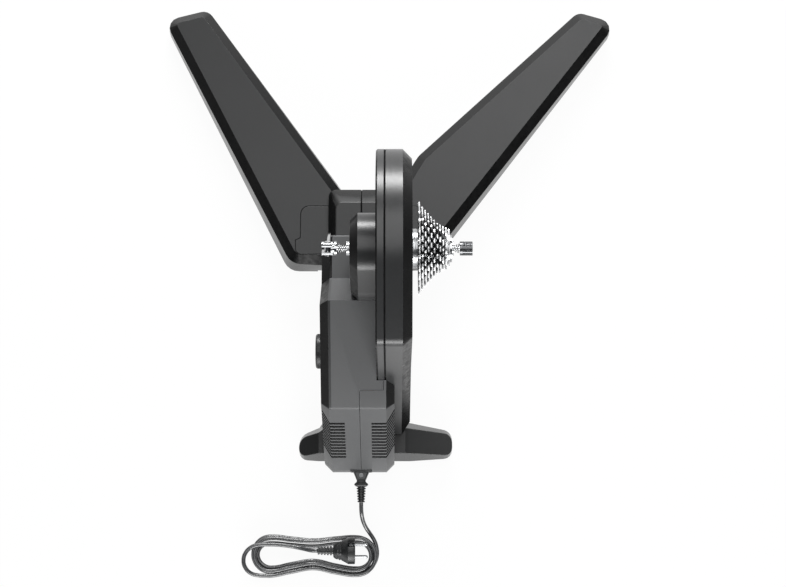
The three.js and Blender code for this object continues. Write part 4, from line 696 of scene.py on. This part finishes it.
def plug_ring(x, half_u, half_v, power=2, contact_depth=0, groove_depth=0):
    """A ring across the plug, notched at its two contacts and at its two grooves."""
    points = []
    for u, v in superellipse(half_u, half_v, power, PLUG_FACETS):
        angle = math.atan2(v, u)
        depth = 0
        if abs(abs(angle) - math.pi / 2) < NOTCH_HALF:
            depth = contact_depth
        elif min(abs(angle), math.pi - abs(angle)) < NOTCH_HALF:
            depth = groove_depth
        scale = 1 - depth / math.hypot(u, v)
        points.append(rolled(x, u * scale, v * scale))
    return points


def pin_rings(side, rows):
    """Rings round one of the two pins, from rows of x and radius."""
    middle = side * PIN_SPACING / 2
    return [[rolled(x, middle + u, v) for u, v in circle(radius, 24)] for x, radius in rows]


# Rows of x, half sizes, squareness and the depths of the notches
plug_rings = [plug_ring(*row) for row in (
    (-92.2, 7.2, 8.2, 2.6), (-91.4, 8.8, 9.6, 2.6), (-89, 10, 10.8, 3), (-86.5, 10.8, 11.4, 3.2),
    (-86.1, 10, 10.8, 3.2), (-84.9, 10, 10.8, 3.2), (-84.5, 11.2, 11.8, 3.2), (-82.6, 11.8, 12.2, 3.2),
    (-82.2, 11, 11.6, 3.2), (-81, 11, 11.6, 3.2), (-80.6, 12.2, 12.6, 3), (-78.6, 13, 13.6, 3),
    (-76, 15, 15.6, 2.4), (-73, 17.4, 17.6), (-71.8, 18.3, 18.3), (-71.2, 18.5, 18.5),
    (-71.1, 18.5, 18.5, 2, 2.2, 2), (-63, 18.5, 18.5, 2, 2.2, 2), (-62.3, 18.2, 18.2, 2, 2.2, 2),
    (-62, 17.6, 17.6, 2, 1.8, 1.6), (-62, 16.2, 16.2), (-62.8, 15.8, 15.8), (-62.8, 8, 8), (-62.8, 1, 1),
)]
settle(ringed("plug_body", plug_rings, "black"), "black_plastic", "plug")

PIN = ((-64, 2.4), (-46.6, 2.4), (-45.4, 2.2), (-44.6, 1.7), (-44, 0.8))
COLLAR = ((-63.2, 3.7), (-62.2, 3.7), (-61.9, 3.4), (-61.9, 2.5))
for side, label in ((-1, "first"), (1, "second")):
    settle(ringed(f"plug_pin_{label}", pin_rings(side, PIN), "chrome"), "steel")
    settle(ringed(f"plug_collar_{label}", pin_rings(side, COLLAR), "black"), "black_plastic")

CONTACT_WIDTH, CONTACT_ROOT = 3.8, 15.9


def contact_ring(side, x, top):
    """A ring round one of the two earth contacts, from its root to its top."""
    half = CONTACT_WIDTH / 2
    corners = ((-half, CONTACT_ROOT), (half, CONTACT_ROOT), (half, top), (-half, top))
    return [rolled(x, u, side * v) for u, v in corners]


# Rows of x and the top's distance from the plug's middle
CONTACT = ((-71, 16.6), (-69.6, 17.6), (-65, 17.9), (-62.6, 17), (-62.1, 16.4))
for side, label in ((-1, "lower"), (1, "upper")):
    contact = ringed(f"plug_contact_{label}", [contact_ring(side, x, top) for x, top in CONTACT], "chrome")
    settle(soften(contact, 0.2, NEW_EDGE_ANGLE), "steel")

sleeve_rings = [
    [(x, PLUG_Y + u, PLUG_Z + v) for u, v in superellipse(radius, radius, 2.2, 32)]
    for x, radius in [(-91.9, 5.6), *ribbed(-92.5, -114, 5, 4.7, 6.4, 0.16)]
]
settle(ringed("plug_sleeve", sleeve_rings, "black"), "cord", "plug_relief")


# Seam strips: near-black, matt strips of painted shade laid in the groove of the belt cover and in the seam
# of the front block

def seam_shade(name, path, left, right):
    """A closed near-black strip of painted shade between two planes across X, along a path of (outer,
    inner) pairs of (y, z).
    """
    rings = [[(left, *outer), (right, *outer), (right, *inner), (left, *inner)] for outer, inner in path]
    settle(ringed(name, rings, "seam_shade", smooth=False), "rubber")


def arc(middle, radius, start, end, steps):
    """Points of (y, z) along an arc from one angle to another, in degrees."""
    turns = [math.radians(start + (end - start) * k / steps) for k in range(steps + 1)]
    return [(middle[0] + radius * math.cos(turn), middle[1] + radius * math.sin(turn)) for turn in turns]


GROOVE_LEFT, GROOVE_RIGHT = -20.35, -18.15
GROOVE_TOP, GROOVE_FLOOR = 0.35, 2.9  # depths of the strip's faces below the cover's outline
COVER_RADIUS = 125
ARC_START, ARC_END = 114, -15  # degrees about the main axle
COVER_MIDDLE = (-40, 250)
COVER_CORNER = [(-135.2, 402.9), (-134.4, 406.9), (-132.5, 410.5), (-129.8, 413.4), (-126.4, 415.6)]
COVER_OUTLINE = [
    (-148, 218),
    *COVER_CORNER,
    *arc((0, AXLE_HEIGHT), COVER_RADIUS, ARC_START, ARC_END, 26),
    (68.9, 109.4),
]


def sunk(point, depth):
    """A point of the cover's outline moved towards its middle."""
    y, z = point
    dy, dz = COVER_MIDDLE[0] - y, COVER_MIDDLE[1] - z
    share = depth / math.hypot(dy, dz)
    return y + dy * share, z + dz * share


cover_path = [(sunk(point, GROOVE_TOP), sunk(point, GROOVE_FLOOR)) for point in COVER_OUTLINE]
seam_shade("cover_groove_shade", cover_path, GROOVE_LEFT, GROOVE_RIGHT)

SEAM_X, SEAM_HALF = -53.5, 0.25
SEAM_FLOOR = 57.4
SEAM_TOP = [(48.6, 83.3), (116.6, 83.3), (128.6, 73.3), (139.9, 60.5)]
block_path = [((y, top), (y, SEAM_FLOOR)) for y, top in SEAM_TOP]
seam_shade("block_seam_shade", block_path, SEAM_X - SEAM_HALF, SEAM_X + SEAM_HALF)


# Floor, world and lamps

FLOOR_SIZE = 40
FLOOR_Z = -0.0004
FLOOR_COLOUR = (0.82, 0.82, 0.82, 1)
FLOOR_GLOW = 0.94  # how much of the floor is plain white to the eye; the rest takes light and shadow
WORLD_COLOUR = (0.9, 0.95, 1, 1)
WORLD_STRENGTH = 0.1

bpy.ops.mesh.primitive_plane_add(size=FLOOR_SIZE, location=(ORIGIN.x, ORIGIN.y, FLOOR_Z))
floor = bpy.context.object
floor.name = "floor"
floor_material, floor_tree, floor_shader = shader("floor")
floor_shader.inputs["Base Color"].default_value = FLOOR_COLOUR
floor_shader.inputs["Roughness"].default_value = 0.8
floor.data.materials.append(floor_material)
rays = node(floor_tree, "ShaderNodeLightPath").outputs
seen = calculate(floor_tree, "MAXIMUM", rays["Is Camera Ray"], rays["Is Glossy Ray"])
seen = calculate(floor_tree, "MAXIMUM", seen, rays["Is Transmission Ray"])
white = node(floor_tree, "ShaderNodeEmission", Color=(1, 1, 1, 1), Strength=1.0)
blend = node(floor_tree, "ShaderNodeMixShader")
feed(floor_tree, calculate(floor_tree, "MULTIPLY", seen, FLOOR_GLOW), blend.inputs[0])
feed(floor_tree, floor_shader.outputs[0], blend.inputs[1])
feed(floor_tree, white.outputs[0], blend.inputs[2])
feed(floor_tree, blend.outputs[0], floor_tree.nodes["Material Output"].inputs["Surface"])

world = bpy.data.worlds.new("studio")
world.use_nodes = True
world.node_tree.nodes["Background"].inputs["Color"].default_value = WORLD_COLOUR
world.node_tree.nodes["Background"].inputs["Strength"].default_value = WORLD_STRENGTH
bpy.context.scene.world = world


def lamp(name, place_mm, size, power, aim_mm):
    """A rectangular lamp of a size in metres and a power in watts, aimed from one place at another."""
    data = bpy.data.lights.new(name, "AREA")
    data.shape = "RECTANGLE"
    data.size, data.size_y = size
    data.energy = power
    made = placed(name, data)
    made.location = at(*place_mm)
    made.rotation_euler = (at(*aim_mm) - made.location).to_track_quat("-Z", "Y").to_euler()


lamp("overhead", (-9, 500, 3400), (2.0, 2.4), 38, (-9, 100, 0))
lamp("rear", (-9, -2600, 750), (2.6, 1.3), 96, (-9, 0, 100))
lamp("tip", (950, 1800, 3300), (0.9, 0.9), 26, (200, 300, 0))
lamp("front", (-9, 2900, 1250), (1.9, 0.9), 128, (-9, 0, 300))
